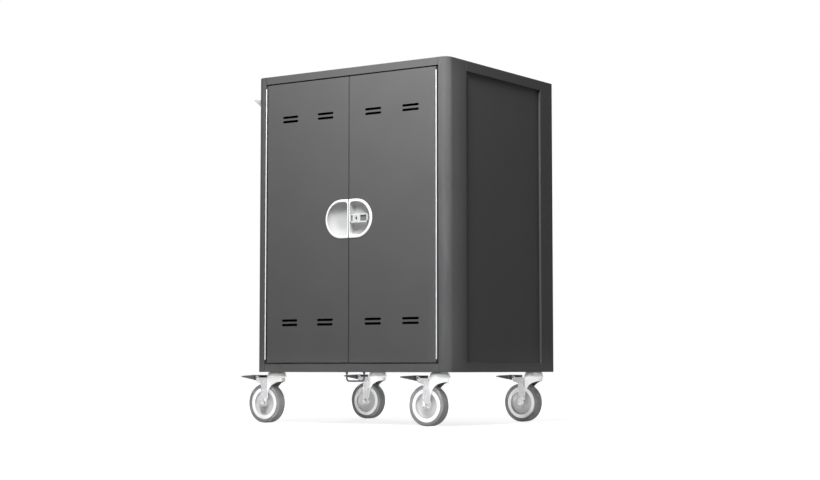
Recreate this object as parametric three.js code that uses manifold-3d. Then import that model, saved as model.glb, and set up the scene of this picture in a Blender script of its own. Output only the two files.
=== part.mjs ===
// Laptop charging cart: a sheet-steel cabinet on four braked swivel casters, with two front doors
// on continuous hinges, twenty-four charging bays and a rear adapter bay behind its own door.
// Millimetres, +Z up, front towards -Y, origin under the middle of the whole object on the floor.
import * as THREE from 'three';
import { mergeVertices } from 'three/addons/utils/BufferGeometryUtils.js';
import Module from 'manifold-3d';

const wasm = await Module();
wasm.setup();

// Sheet and fits
const sheet = 1.5;
const seam = 0.3;
const slide = 0.6;

// Cabinet shell
const cabinetWidth = 600;
const cabinetDepth = 516;
const cabinetHeight = 774;
const frontCornerRadius = 20;
const rearCornerRadius = 4;
const frontPostFlange = 84.5;
const rearPostFlange = 66.5;
const postFace = 29.25;
const jambDepth = 26;
const panelRecess = 6;
const panelLap = 14;
const topRailHeight = 19.8;
const bottomRailHeight = 21;
const railReturn = 40;
const topBandHeight = 25.6;
const bottomBandHeight = 23;
const fasciaHeight = 72;
const rearLip = 12;

// Doors and their vent slots
const doorGap = 3;
const doorDepth = 20;
const doorLip = 14;
const slotLength = 50;
const slotHeight = 6;
const slotPitch = 11.5;
const innerSlotX = 75;
const outerSlotX = 189;
const upperSlotDrop = 95;
const lowerSlotRise = 103;
const louvreLength = 150;
const louvreRows = 3;
const louvrePitch = 18;
const louvreX = 125;
const louvreInset = 120;

// Continuous hinges
const hingeGap = 6.5;
const hingeProud = 2.75;
const barrelRadius = 2.5;
const hingePinRadius = 1.2;
const leafThickness = 1.3;
const leafWidth = 20;
const hingeTopInset = 9;
const hingeBottomInset = 8;
const knuckleCount = 9;

// Oblong handle in two halves
const cupHeight = 99;
const cupHalfWidth = 73;
const cupRim = 7;
const cupSplitRim = 2;
const cupLap = 3;
const cupRimProud = 2;
const cupDepth = 19;
const cupWall = 1.5;

// Turn handle, key plug, cam tongue and its keeper
const lockX = 26;
const leverProud = 3.5;
const leverThickness = 9;
const leverHeight = 22.5;
const leverShort = 21;
const leverLong = 35;
const leverChamfer = 5.5;
const troughInset = 3.5;
const troughDepth = 4;
const hubRadius = 11.5;
const spindleRadius = 6;
const plugRadius = 6;
const plugLength = 14;
const keySlotWidth = 1.6;
const keySlotHeight = 8;
const keySlotDepth = 6;
const camSetback = 9;
const camWidth = 18;
const camReach = 44;
const camThickness = 3;
const keeperWidth = 44;
const keeperRise = 10;
const keeperGap = 14;

// Rear lock
const rearLockInset = 26;
const rearLockRim = 11;
const rearLockBarrel = 9;
const rearLockProud = 2;
const rearLockArm = 40;
const rearLockArmWidth = 14;
const rearLockArmThickness = 3;
const rearLockSetback = 3;

// Charging bays and the adapter bay
const bayCount = 12;
const rackClearance = 27.5;
const dividerThickness = 2;
const dividerHeight = 230;
const dividerSlope = 70;
const rackFloor = 2;
const rackFrontSetback = 62;
const rackRearSetback = 6;
const shelfSetback = 54;
const shelfFlange = 18;
const shelfHeight = 386;
const partitionSetback = 148;
const passInset = 20;
const passHeight = 44;
const passRise = 270;

// Power strip, charge controller, mains inlet and rocker switch
const stripHeight = 120;
const stripDepth = 38;
const stripEnd = 22;
const stripRise = 120;
const socketRows = 2;
const socketWidth = 28;
const socketHeight = 34;
const socketDepth = 2.5;
const socketRowPitch = 52;
const controllerWidth = 190;
const controllerDepth = 74;
const controllerHeight = 58;
const controllerX = 130;
const controllerSetback = 30;
const controllerGrooves = 6;
const grooveWidth = 6;
const grooveDepth = 8;
const inletX = -150;
const inletRise = 38;
const inletFlangeWidth = 74;
const inletFlangeHeight = 36;
const inletFlangeThickness = 2;
const inletBodyWidth = 64;
const inletBodyHeight = 27;
const inletBodyDepth = 30;
const inletWellWidth = 25;
const inletWellHeight = 18;
const inletWellDepth = 16;
const inletPinRadius = 2;
const inletPinSpread = 7;
const inletPinLength = 12;
const rockerWellWidth = 20;
const rockerWellDepth = 12;
const rockerLean = THREE.MathUtils.degToRad(8);
const rockerWaist = 2;
const wellWall = 4.5;

// Push handle on the left side and the bent-rod loop under the base
const gripSetback = 40;
const gripReach = 45;
const gripLipHeight = 3;
const gripLipDrop = 46.5;
const gripLipWidth = 12;
const gripDish = 9.5;
const gripDishStart = 22;
const gripFoot = 41;
const loopWidth = 58;
const loopDrop = 24.5;
const loopRod = 4;
const loopBend = 4;
const loopSetback = 30;

// Casters
const wheelDiameter = 101.6;
const casterHeight = 132;
const casterInsetX = 45;
const casterInsetY = 31;
const casterTrail = 32.5;
const stemRadius = 6;
const stemLength = 14;
const capRadius = 25.5;
const capTopRadius = 20;
const capHeight = 14;
const capSkirt = 4;
const rivetRadius = 10;
const rivetHeight = 3.5;
const crownThickness = 4;
const crownNose = 26;
const crownTail = 49;
const noseLength = 44;
const noseLip = 9.7;
const forkWidth = 35;
const legThickness = 2.2;
const legBehind = 6.3;
const legAhead = 13.7;
const legFoot = 6.3;
const legRise = 9.2;
const sweepLift = 34;
const sweepReach = 24;
const skirtHeight = 15.7;
const earTail = 57.5;
const earFoot = 54.5;
const earDrop = 9.9;
const earRise = 4.8;
const earLength = 6.5;
const earSlope = 5;
const axleRadius = 4;
const axleHeadRadius = 6.5;
const axleHeadLength = 3;
const hubHalfLength = 14.8;
const hubOuterRadius = 11;
const webHalfThickness = 4;
const rimInnerRadius = 31.5;
const rimOuterRadius = 41;
const rimHalfWidth = 12.3;
const tyreHalfWidth = 13.5;
const tyreFlat = 9.5;
const tyreShoulder = 2;
const pedalReach = 108;
const pedalFront = 44;
const pedalThickness = 6.2;
const pedalHeel = 56;
const pedalRoot = 60;
const pedalWing = 66;
const pedalDrop = 7.4;
const pedalTip = 2.5;
const pedalPinRadius = 2;
const pedalPinSetback = 3.5;
const pedalPinRise = 0.5;

// Facets of the round shapes
const cornerSteps = 5;
const slotSteps = 4;
const cupSteps = 12;
const barrelSides = 10;
const pinSides = 8;
const roundSides = 16;
const wheelSides = 24;
const legSteps = 6;
const noseSteps = 8;
const loopSteps = 14;

// Places worked out from the sizes above
const halfWidth = cabinetWidth / 2;
const frontY = -cabinetDepth / 2;
const rearY = cabinetDepth / 2;
const baseZ = casterHeight;
const floorZ = baseZ + sheet;
const topZ = baseZ + cabinetHeight;
const ceilingZ = topZ - sheet;
const jambX = halfWidth - postFace;
const railX = jambX - seam;
const panelX = halfWidth - panelRecess;
const innerX = panelX - sheet;
const frontPostEdge = frontY + frontPostFlange;
const rearPostEdge = rearY - rearPostFlange;
const doorBottom = baseZ + bottomRailHeight + doorGap;
const doorTop = topZ - topRailHeight - doorGap;
const doorHingeX = jambX - hingeGap;
const hingeX = jambX - hingeGap / 2;
const rearDoorBottom = baseZ + fasciaHeight + doorGap;
const lockZ = (doorTop + doorBottom) / 2;
const cupArcX = cupHalfWidth - cupHeight / 2;
const cupFloorY = frontY + cupDepth - cupWall;
const camY = frontY + doorDepth + camSetback;
const leverY = frontY - leverProud;
const frontHingeY = frontY - hingeProud;
const frontHingeSpan = [doorBottom + hingeBottomInset, doorTop - hingeTopInset];
const rearHinge = [-hingeX, rearY + hingeProud];
const rearHingeSpan = [rearDoorBottom + hingeBottomInset, doorTop - hingeTopInset];
const rearLockX = jambX - doorGap - rearLockInset;
const rearLockZ = (rearDoorBottom + doorTop) / 2;
const inletZ = baseZ + inletRise;
const partitionY = rearY - partitionSetback;
const shelfZ = floorZ + shelfHeight;
const rackHalfWidth = innerX - rackClearance;
const bayPitch = (2 * rackHalfWidth - dividerThickness) / bayCount;
const crownZ = casterHeight - capHeight - seam;
const wheelRadius = wheelDiameter / 2;
const pedalZ = crownZ + seam;
const pedalPivot = [earTail - pedalPinSetback, pedalZ + pedalPinRise];
const rockerX = inletBodyWidth / 2 - wellWall - rockerWellWidth / 2;
const rockerY = rearY + inletFlangeThickness - rockerWellDepth / 2;
const casterX = halfWidth - casterInsetX;
const casterY = rearY - casterInsetY;
const casterPlaces = [
  { name: 'front_left', x: -casterX, y: -casterY },
  { name: 'front_right', x: casterX, y: -casterY },
  { name: 'rear_left', x: -casterX, y: casterY },
  { name: 'rear_right', x: casterX, y: casterY },
];

const finishes = {
  cabinetPaint: { color: 0x55565a, roughness: 0.55, metalness: 0.2 },
  hingeSteel: { color: 0xe8e9ea, roughness: 0.3, metalness: 0.9 },
  whitePlastic: { color: 0xe9eaea, roughness: 0.4, metalness: 0 },
  handleZinc: { color: 0xb9bbbd, roughness: 0.35, metalness: 0.8 },
  zincPlate: { color: 0xd2d4d6, roughness: 0.35, metalness: 0.9 },
  darkSteel: { color: 0x3a3a3c, roughness: 0.5, metalness: 0.7 },
  gripPlastic: { color: 0xb4b5b7, roughness: 0.5, metalness: 0 },
  rackPlastic: { color: 0x2c2d2f, roughness: 0.6, metalness: 0 },
  blackPlastic: { color: 0x1b1b1c, roughness: 0.5, metalness: 0 },
  wheelPlastic: { color: 0xdadbdc, roughness: 0.45, metalness: 0 },
  tyreRubber: { color: 0x77787a, roughness: 0.8, metalness: 0 },
};

// Turns a closed three.js geometry into a solid with its faces pointing out.
function solid(geometry) {
  const bare = geometry.clone();
  bare.deleteAttribute('normal');
  bare.deleteAttribute('uv');
  const merged = mergeVertices(bare);
  const corners = merged.index.array;
  const triangles = [];
  for (let i = 0; i < corners.length; i += 3) {
    const [a, b, c] = corners.slice(i, i + 3);
    if (a !== b && b !== c && c !== a) {
      triangles.push(a, b, c);
    }
  }
  const vertices = merged.attributes.position.array;
  const body = bodyOf(vertices, triangles);
  return body.volume() > 0 ? body : bodyOf(vertices, triangles.reverse());
}

function bodyOf(vertices, triangles) {
  const vertProperties = new Float32Array(vertices);
  const triVerts = new Uint32Array(triangles);
  return new wasm.Manifold(new wasm.Mesh({ numProp: 3, vertProperties, triVerts }));
}

// Joins a list of solids into one.
function joined(bodies) {
  return bodies.reduce((whole, body) => whole.add(body));
}

// Cuts every solid of a list out of the first one.
function cut(body, tools) {
  return tools.reduce((rest, tool) => rest.subtract(tool), body);
}

// A block between two limits along each axis.
function box([x0, x1], [y0, y1], [z0, z1]) {
  const block = new THREE.BoxGeometry(Math.abs(x1 - x0), Math.abs(y1 - y0), Math.abs(z1 - z0));
  return solid(block.translate((x0 + x1) / 2, (y0 + y1) / 2, (z0 + z1) / 2));
}

function extruded(points, low, high) {
  const shape = new THREE.Shape(points.map(([a, b]) => new THREE.Vector2(a, b)));
  const geometry = new THREE.ExtrudeGeometry(shape, { depth: high - low, bevelEnabled: false });
  return geometry.translate(0, 0, low);
}

// Prisms of an outline in the plane across the named axis.
function prismX(points, low, high) {
  const turn = new THREE.Matrix4();
  turn.makeBasis(new THREE.Vector3(0, 1, 0), new THREE.Vector3(0, 0, 1), new THREE.Vector3(1, 0, 0));
  return solid(extruded(points, low, high).applyMatrix4(turn));
}

function prismY(points, low, high) {
  return solid(extruded(points, -high, -low).rotateX(Math.PI / 2));
}

function prismZ(points, low, high) {
  return solid(extruded(points, low, high));
}

// Round bars along Y and along Z.
function barY(radius, [x, z], low, high, sides) {
  const bar = new THREE.CylinderGeometry(radius, radius, high - low, sides);
  return solid(bar.translate(x, (low + high) / 2, z));
}

function barZ(radius, [x, y], low, high, sides) {
  const bar = new THREE.CylinderGeometry(radius, radius, high - low, sides).rotateX(Math.PI / 2);
  return solid(bar.translate(x, y, (low + high) / 2));
}

// A profile of [radius, height] points spun about Y, with a facet square to Z.
function spun(profile, sides) {
  const points = profile.map(([radius, height]) => new THREE.Vector2(radius, height));
  return new THREE.LatheGeometry(points, sides, Math.PI / sides);
}

// Points along an arc, both ends included.
function arc([x, y], radius, from, to, steps) {
  const points = [];
  for (let i = 0; i <= steps; i += 1) {
    const angle = from + ((to - from) * i) / steps;
    points.push([x + radius * Math.cos(angle), y + radius * Math.sin(angle)]);
  }
  return points;
}

// Outline of a sheet folded along a path of outer points, with its thickness on the path's right.
function folded(path) {
  const inner = path.map((point, i) => {
    const normals = [];
    for (const j of [i - 1, i]) {
      if (j >= 0 && j + 1 < path.length) {
        const dx = path[j + 1][0] - path[j][0];
        const dy = path[j + 1][1] - path[j][1];
        const length = Math.hypot(dx, dy);
        normals.push([dy / length, -dx / length]);
      }
    }
    const first = normals[0];
    const last = normals[normals.length - 1];
    const spread = 1 + first[0] * last[0] + first[1] * last[1];
    const mitre = (axis) => (sheet * (first[axis] + last[axis])) / spread;
    return [point[0] + mitre(0), point[1] + mitre(1)];
  });
  return [...path, ...inner.reverse()];
}

// The outline of a right-hand piece, mirrored for the left side.
function sided(points, side) {
  return points.map(([x, y]) => [side * x, y]);
}

function mesh(name, body, finish) {
  const { vertProperties, triVerts } = body.getMesh();
  const geometry = new THREE.BufferGeometry();
  geometry.setAttribute('position', new THREE.BufferAttribute(vertProperties, 3));
  geometry.setIndex(new THREE.BufferAttribute(triVerts, 1));
  geometry.computeVertexNormals();
  const piece = new THREE.Mesh(geometry, new THREE.MeshStandardMaterial(finish));
  piece.name = name;
  return piece;
}

const sides = [[-1, 'left'], [1, 'right']];

// Outline of the floor and roof plates, rounded where the posts are.
function plateOutline() {
  const frontRight = [halfWidth - frontCornerRadius, frontY + frontCornerRadius];
  const rearRight = [halfWidth - rearCornerRadius, rearY - rearCornerRadius];
  const right = [
    ...arc(frontRight, frontCornerRadius, -Math.PI / 2, 0, cornerSteps),
    ...arc(rearRight, rearCornerRadius, 0, Math.PI / 2, 1),
  ];
  return [...right, ...sided(right, -1).reverse()];
}

// The rail along the front and its return.
function frontRail(low, high, returnLow) {
  const returnY = frontY + railReturn;
  return joined([
    box([-railX, railX], [frontY, frontY + sheet], [low, high]),
    box([-railX, railX], [frontY, returnY], [returnLow, returnLow + sheet]),
  ]);
}

// The bands above and below the recessed side panels, each with a lip that meets the panel.
function sideBands(low, high, lipLow) {
  const along = [frontPostEdge + seam, rearPostEdge - seam];
  const bands = [];
  for (const [side] of sides) {
    bands.push(box([side * (halfWidth - sheet), side * halfWidth], along, [low, high]));
    bands.push(box([side * panelX, side * halfWidth], along, [lipLow, lipLow + sheet]));
  }
  return bands;
}

function basePan() {
  const railTop = baseZ + bottomRailHeight;
  const bandTop = baseZ + bottomBandHeight;
  const fasciaTop = baseZ + fasciaHeight;
  const inletHole = box(
    [inletX - inletBodyWidth / 2 - seam, inletX + inletBodyWidth / 2 + seam],
    [rearY - rearLip, rearY],
    [inletZ - inletBodyHeight / 2 - seam, inletZ + inletBodyHeight / 2 + seam],
  );
  const stemHoles = casterPlaces.map(({ x, y }) => (
    barZ(stemRadius + seam, [x, y], baseZ, floorZ, roundSides)
  ));
  const pan = joined([
    prismZ(plateOutline(), baseZ, floorZ),
    frontRail(baseZ, railTop, railTop - sheet),
    ...sideBands(baseZ, bandTop, bandTop - sheet),
    box([-railX, railX], [rearY - sheet, rearY], [baseZ, fasciaTop]),
    box([-railX, railX], [rearY - rearLip, rearY], [fasciaTop - sheet, fasciaTop]),
  ]);
  return cut(pan, [inletHole, ...stemHoles]);
}

function topPanel() {
  const railBottom = topZ - topRailHeight;
  const bandBottom = topZ - topBandHeight;
  return joined([
    prismZ(plateOutline(), ceilingZ, topZ),
    frontRail(railBottom, topZ, railBottom),
    ...sideBands(bandBottom, topZ, bandBottom),
    box([-railX, railX], [rearY - sheet, rearY], [railBottom, topZ]),
    box([-railX, railX], [rearY - rearLip, rearY], [railBottom, railBottom + sheet]),
  ]);
}

function frontPost(side) {
  const corner = [halfWidth - frontCornerRadius, frontY + frontCornerRadius];
  const path = [
    [panelX, frontPostEdge],
    [halfWidth, frontPostEdge],
    ...arc(corner, frontCornerRadius, 0, -Math.PI / 2, cornerSteps),
    [jambX, frontY],
    [jambX, frontY + jambDepth],
  ];
  return prismZ(sided(folded(path), side), floorZ, ceilingZ);
}

function rearPost(side) {
  const corner = [halfWidth - rearCornerRadius, rearY - rearCornerRadius];
  const path = [
    [jambX, rearY - jambDepth],
    [jambX, rearY],
    ...arc(corner, rearCornerRadius, Math.PI / 2, 0, 1),
    [halfWidth, rearPostEdge],
    [panelX, rearPostEdge],
  ];
  return prismZ(sided(folded(path), side), floorZ, ceilingZ);
}

function sidePanel(side) {
  return box(
    [side * innerX, side * panelX],
    [frontPostEdge - panelLap, rearPostEdge + panelLap],
    [baseZ + bottomBandHeight - panelLap, topZ - topBandHeight + panelLap],
  );
}

// A shallow door pan: skin, edge flanges and the lips turned in behind them.
function doorPan([x0, x1], [z0, z1], faceY, inward) {
  const backY = faceY + inward * doorDepth;
  const hollow = box(
    [x0 + sheet, x1 - sheet],
    [faceY + inward * sheet, backY - inward * sheet],
    [z0 + sheet, z1 - sheet],
  );
  const mouth = box(
    [x0 + doorLip, x1 - doorLip],
    [backY - inward * doorDepth / 2, backY],
    [z0 + doorLip, z1 - doorLip],
  );
  return cut(box([x0, x1], [faceY, backY], [z0, z1]), [hollow, mouth]);
}

// A round-ended slot through the skin of a door.
function ventSlot(x, z, length, faceY, inward) {
  const radius = slotHeight / 2;
  const reach = length / 2 - radius;
  const outline = [
    ...arc([x + reach, z], radius, -Math.PI / 2, Math.PI / 2, slotSteps),
    ...arc([x - reach, z], radius, Math.PI / 2, (3 * Math.PI) / 2, slotSteps),
  ];
  const behind = faceY + inward * doorDepth / 2;
  return prismY(outline, Math.min(faceY, behind), Math.max(faceY, behind));
}

// Half of the oblong handle's outline, drawn in from its rim: round outside, straight at the split.
function cupOutline(side, inset, splitInset) {
  const radius = cupHeight / 2 - inset;
  const straight = doorGap / 2 + splitInset;
  const right = [
    [straight, lockZ - radius],
    ...arc([cupArcX, lockZ], radius, -Math.PI / 2, Math.PI / 2, cupSteps),
    [straight, lockZ + radius],
  ];
  return sided(right, side);
}

function frontDoor(side) {
  const x = [side * doorHingeX, side * (doorGap / 2)].sort((a, b) => a - b);
  const slots = [];
  for (const slotX of [innerSlotX, outerSlotX]) {
    for (const slotZ of [doorTop - upperSlotDrop, doorBottom + lowerSlotRise]) {
      for (const step of [-slotPitch / 2, slotPitch / 2]) {
        slots.push(ventSlot(side * slotX, slotZ + step, slotLength, frontY, 1));
      }
    }
  }
  const opening = prismY(cupOutline(side, cupLap - seam, -doorGap), frontY, frontY + doorDepth);
  return cut(doorPan(x, [doorBottom, doorTop], frontY, 1), [...slots, opening]);
}

function handleCup(side) {
  const rim = prismY(cupOutline(side, 0, 0), frontY - cupRimProud, frontY);
  const body = prismY(cupOutline(side, cupLap, 0), frontY - cupRimProud, frontY + cupDepth);
  const pocket = prismY(cupOutline(side, cupRim, cupSplitRim), frontY - cupRimProud, cupFloorY);
  return cut(joined([rim, body]), [pocket]);
}

// One leaf of a continuous hinge about a Z axis: a strip and every second knuckle. The strip lies on
// the named side of the axis, and sinks by lap into a piece that it is formed on.
function hingeLeaf(side, inward, firstKnuckle, [x, y], [low, high], lap) {
  const pitch = (high - low) / knuckleCount;
  const strip = [x + side * (hingeGap / 2 - leafThickness), x + side * (hingeGap / 2 + lap)];
  const stripY = [y + inward * hingeProud, y + inward * (hingeProud + leafWidth)];
  const parts = [box(strip, stripY, [low, high])];
  for (let row = firstKnuckle; row < knuckleCount; row += 2) {
    const rows = [low + row * pitch + seam / 2, low + (row + 1) * pitch - seam / 2];
    const tab = [x + side * (hingeGap / 2 - leafThickness), x + side * (hingeGap / 2)];
    parts.push(barZ(barrelRadius, [x, y], rows[0], rows[1], barrelSides));
    parts.push(box(tab, [y, stripY[0] + inward * sheet], rows));
  }
  const bore = barZ(hingePinRadius + seam, [x, y], low, high, pinSides);
  return cut(joined(parts), [bore]);
}

function hingePin([x, y], [low, high]) {
  return barZ(hingePinRadius, [x, y], low, high, pinSides);
}

function rearDoor() {
  const slots = [];
  for (const [side] of sides) {
    for (const edge of [rearDoorBottom + louvreInset, doorTop - louvreInset]) {
      for (let row = 0; row < louvreRows; row += 1) {
        const z = edge + (row - (louvreRows - 1) / 2) * louvrePitch;
        slots.push(ventSlot(side * louvreX, z, louvreLength, rearY, -1));
      }
    }
  }
  const pan = doorPan([-doorHingeX, jambX - doorGap], [rearDoorBottom, doorTop], rearY, -1);
  const lockHole = barY(rearLockBarrel + seam, [rearLockX, rearLockZ], rearY - doorDepth, rearY, roundSides);
  const leaf = hingeLeaf(1, -1, 1, rearHinge, rearHingeSpan, sheet / 2);
  return joined([cut(pan, [...slots, lockHole]), leaf]);
}

// Quarter-turn lock of the rear door about Y: rim, barrel and the arm that turns behind the post.
function rearLock() {
  const armBack = rearY - jambDepth - rearLockSetback;
  const armFront = armBack - rearLockArmThickness;
  const rimY = rearY + seam;
  const half = rearLockArmWidth / 2;
  const body = joined([
    barY(rearLockRim, [0, 0], rimY, rimY + rearLockProud, roundSides),
    barY(rearLockBarrel, [0, 0], armFront, rimY + rearLockProud, roundSides),
    box([-half, half], [armFront, armBack], [-half, rearLockArm]),
  ]);
  const slot = box(
    [-keySlotWidth / 2, keySlotWidth / 2],
    [rimY + rearLockProud - keySlotDepth, rimY + rearLockProud],
    [-keySlotHeight / 2, keySlotHeight / 2],
  );
  return cut(body, [slot]);
}

// Turn handle about Y: a chamfered lever with a pocket on each side of the hub, and its spindle.
function turnHandle() {
  const half = leverHeight / 2;
  const short = leverShort - leverChamfer;
  const long = leverLong - leverChamfer;
  const flank = half - leverChamfer;
  const outline = [
    [-leverShort, -flank], [-short, -half], [long, -half], [leverLong, -flank],
    [leverLong, flank], [long, half], [-short, half], [-leverShort, flank],
  ];
  const pocketY = [leverY, leverY + troughDepth];
  const pocketZ = [-half + troughInset, half - troughInset];
  const pocketX = hubRadius + seam;
  return cut(
    joined([
      prismY(outline, leverY, leverY + leverThickness),
      barY(hubRadius, [0, 0], leverY, cupFloorY - seam, roundSides),
      barY(spindleRadius, [0, 0], leverY, camY + camThickness, roundSides),
    ]),
    [
      barY(plugRadius + seam, [0, 0], leverY, leverY + plugLength + seam, roundSides),
      box([-leverShort + troughInset, -pocketX], pocketY, pocketZ),
      box([pocketX, leverLong - troughInset], pocketY, pocketZ),
    ],
  );
}

function lockPlug() {
  const slot = box(
    [-keySlotWidth / 2, keySlotWidth / 2],
    [leverY, leverY + keySlotDepth],
    [-keySlotHeight / 2, keySlotHeight / 2],
  );
  return cut(barY(plugRadius, [0, 0], leverY, leverY + plugLength, roundSides), [slot]);
}

// Cam tongue on the spindle's end: upright while the lever is level, and behind the keeper once turned.
function lockCam() {
  const half = camWidth / 2;
  const y = [camY, camY + camThickness];
  const outline = [
    ...arc([0, 0], half, Math.PI, 2 * Math.PI, noseSteps),
    [half, camReach - half],
    [0, camReach],
    [-half, camReach - half],
  ];
  return cut(prismY(outline, ...y), [barY(spindleRadius + seam, [0, 0], ...y, roundSides)]);
}

// Shelf with a front flange, and on it the keeper that the cam tongue turns behind.
function middleShelf() {
  const front = frontY + shelfSetback;
  const flangeLow = shelfZ - shelfFlange;
  const keeperX = [lockX - keeperGap - keeperWidth, lockX - keeperGap];
  const keeperY = camY - slide;
  return joined([
    box([-innerX, innerX], [front, partitionY], [shelfZ - sheet, shelfZ]),
    box([-innerX, innerX], [front, front + sheet], [flangeLow, shelfZ]),
    box(keeperX, [keeperY - sheet, front + sheet], [flangeLow, flangeLow + sheet]),
    box(keeperX, [keeperY - sheet, keeperY], [flangeLow, shelfZ + keeperRise]),
  ]);
}

// Comb of upright dividers on a floor strip, one bay between each two dividers.
function dividerRack(z) {
  const front = frontY + rackFrontSetback;
  const rear = partitionY - rackRearSetback;
  const top = z + dividerHeight;
  const slope = [[front + dividerSlope, top], [front, top - dividerSlope]];
  const outline = [[front, z], [rear, z], [rear, top], ...slope];
  const parts = [box([-rackHalfWidth, rackHalfWidth], [front, rear], [z, z + rackFloor])];
  for (let i = 0; i <= bayCount; i += 1) {
    const x = -rackHalfWidth + i * bayPitch;
    parts.push(prismX(outline, x, x + dividerThickness));
  }
  return joined(parts);
}

// Centre of each bay along X.
function bayCentres() {
  return Array.from({ length: bayCount }, (_, i) => (i - (bayCount - 1) / 2) * bayPitch);
}

// Upright sheet between the bays and the adapters, with a long cable pass-through for each level.
function cablePartition() {
  const y = [partitionY, partitionY + sheet];
  const reach = rackHalfWidth - passInset;
  const passes = [floorZ, shelfZ].map((z) => (
    box([-reach, reach], y, [z + passRise, z + passRise + passHeight])
  ));
  return cut(box([-innerX, innerX], y, [floorZ, ceilingZ]), passes);
}

function powerStrip() {
  const back = partitionY + sheet;
  const face = back + stripDepth;
  const halfStrip = (bayCount * bayPitch) / 2 - stripEnd + bayPitch / 2;
  const middle = shelfZ + stripRise;
  const sockets = [];
  for (let row = 0; row < socketRows; row += 1) {
    const z = middle + (row - (socketRows - 1) / 2) * socketRowPitch;
    for (const x of bayCentres()) {
      sockets.push(box(
        [x - socketWidth / 2, x + socketWidth / 2],
        [face - socketDepth, face],
        [z - socketHeight / 2, z + socketHeight / 2],
      ));
    }
  }
  const bar = box(
    [-halfStrip, halfStrip],
    [back, face],
    [middle - stripHeight / 2, middle + stripHeight / 2],
  );
  return cut(bar, sockets);
}

function chargeController() {
  const front = partitionY + sheet + controllerSetback;
  const y = [front, front + controllerDepth];
  const top = floorZ + controllerHeight;
  const pitch = controllerWidth / (controllerGrooves + 1);
  const grooves = [];
  for (let i = 1; i <= controllerGrooves; i += 1) {
    const x = controllerX - controllerWidth / 2 + i * pitch;
    grooves.push(box([x - grooveWidth / 2, x + grooveWidth / 2], y, [top - grooveDepth, top]));
  }
  const x = [controllerX - controllerWidth / 2, controllerX + controllerWidth / 2];
  return cut(box(x, y, [floorZ, top]), grooves);
}

// The limits of a length centred on the origin.
function about(length) {
  return [-length / 2, length / 2];
}

// Mains inlet module in the rear fascia: a three-pin socket well and a well for the rocker.
function mainsInlet() {
  const face = rearY + inletFlangeThickness;
  const wellEdge = -inletBodyWidth / 2 + wellWall;
  const socketWell = [wellEdge, wellEdge + inletWellWidth];
  const rockerWell = [inletBodyWidth / 2 - wellWall - rockerWellWidth, inletBodyWidth / 2 - wellWall];
  const wellZ = about(inletWellHeight);
  const socketX = (socketWell[0] + socketWell[1]) / 2;
  const floorY = face - inletWellDepth;
  const pinEnd = floorY + inletPinLength;
  const body = joined([
    box(about(inletFlangeWidth), [rearY, face], about(inletFlangeHeight)),
    box(about(inletBodyWidth), [rearY - inletBodyDepth, face], about(inletBodyHeight)),
  ]);
  const hollow = cut(body, [
    box(socketWell, [floorY, face], wellZ),
    box(rockerWell, [face - rockerWellDepth, face], wellZ),
  ]);
  const pins = [-1, 0, 1].map((step) => (
    barY(inletPinRadius, [socketX + step * inletPinSpread, 0], floorY - seam, pinEnd, pinSides)
  ));
  return joined([hollow, ...pins]);
}

// Rocker about X, drawn about its own pivot with both halves sloping back from the middle.
function rocker() {
  const half = inletWellHeight / 2 - slide * 2;
  const depth = rockerWellDepth / 2 - slide;
  const edge = depth - half * Math.tan(rockerLean);
  const back = -depth + rockerWaist;
  const outline = [[back, -half], [edge, -half], [depth, 0], [edge, half], [back, half], [-depth, 0]];
  const reach = rockerWellWidth / 2 - slide;
  return prismX(outline, -reach, reach);
}

// Push ledge along the left side: a wedge whose dished top ends in an upturned lip.
function pushHandle() {
  const lipTop = topZ - gripLipDrop;
  const dish = lipTop - gripDish;
  const outline = [
    [0, lipTop - gripFoot],
    [0, dish],
    [gripDishStart, dish],
    [gripReach - gripLipWidth, lipTop - gripLipHeight / 2],
    [gripReach, lipTop],
    [gripReach, lipTop - gripLipHeight],
    [gripDishStart, dish - gripLipWidth],
  ];
  const onLeft = outline.map(([reach, z]) => [-halfWidth - reach, z]);
  return prismY(onLeft, frontY + gripSetback, rearY - gripSetback);
}

function tetherLoop() {
  const bottom = baseZ - loopDrop + loopRod / 2;
  const reach = loopWidth / 2 - loopRod / 2;
  const y = frontY + loopSetback;
  const at = (x, z) => new THREE.Vector3(x, y, z);
  const path = new THREE.CurvePath();
  const bends = [at(-reach, bottom + loopBend), at(-reach + loopBend, bottom)];
  bends.push(at(reach - loopBend, bottom), at(reach, bottom + loopBend));
  path.add(new THREE.LineCurve3(at(-reach, baseZ), bends[0]));
  path.add(new THREE.QuadraticBezierCurve3(bends[0], at(-reach, bottom), bends[1]));
  path.add(new THREE.LineCurve3(bends[1], bends[2]));
  path.add(new THREE.QuadraticBezierCurve3(bends[2], at(reach, bottom), bends[3]));
  path.add(new THREE.LineCurve3(bends[3], at(reach, baseZ)));
  const round = arc([0, 0], loopRod / 2, 0, 2 * Math.PI, pinSides).slice(1);
  const section = new THREE.Shape(round.map(([a, b]) => new THREE.Vector2(a, b)));
  const options = { steps: loopSteps, extrudePath: path, bevelEnabled: false };
  return solid(new THREE.ExtrudeGeometry(section, options));
}

// Caster head about Z: stem, bearing cap and the rivet that holds the fork under it.
function casterHead() {
  const capLow = casterHeight - capHeight;
  const rivetTop = crownZ - crownThickness - seam;
  const profile = [
    [0, rivetTop - rivetHeight],
    [rivetRadius, rivetTop - rivetHeight],
    [rivetRadius, rivetTop],
    [stemRadius, rivetTop],
    [stemRadius, capLow],
    [capRadius, capLow],
    [capRadius, capLow + capSkirt],
    [capTopRadius, casterHeight],
    [stemRadius, casterHeight],
    [stemRadius, casterHeight + stemLength],
    [0, casterHeight + stemLength],
  ];
  return solid(spun(profile, roundSides).rotateX(Math.PI / 2));
}

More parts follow.
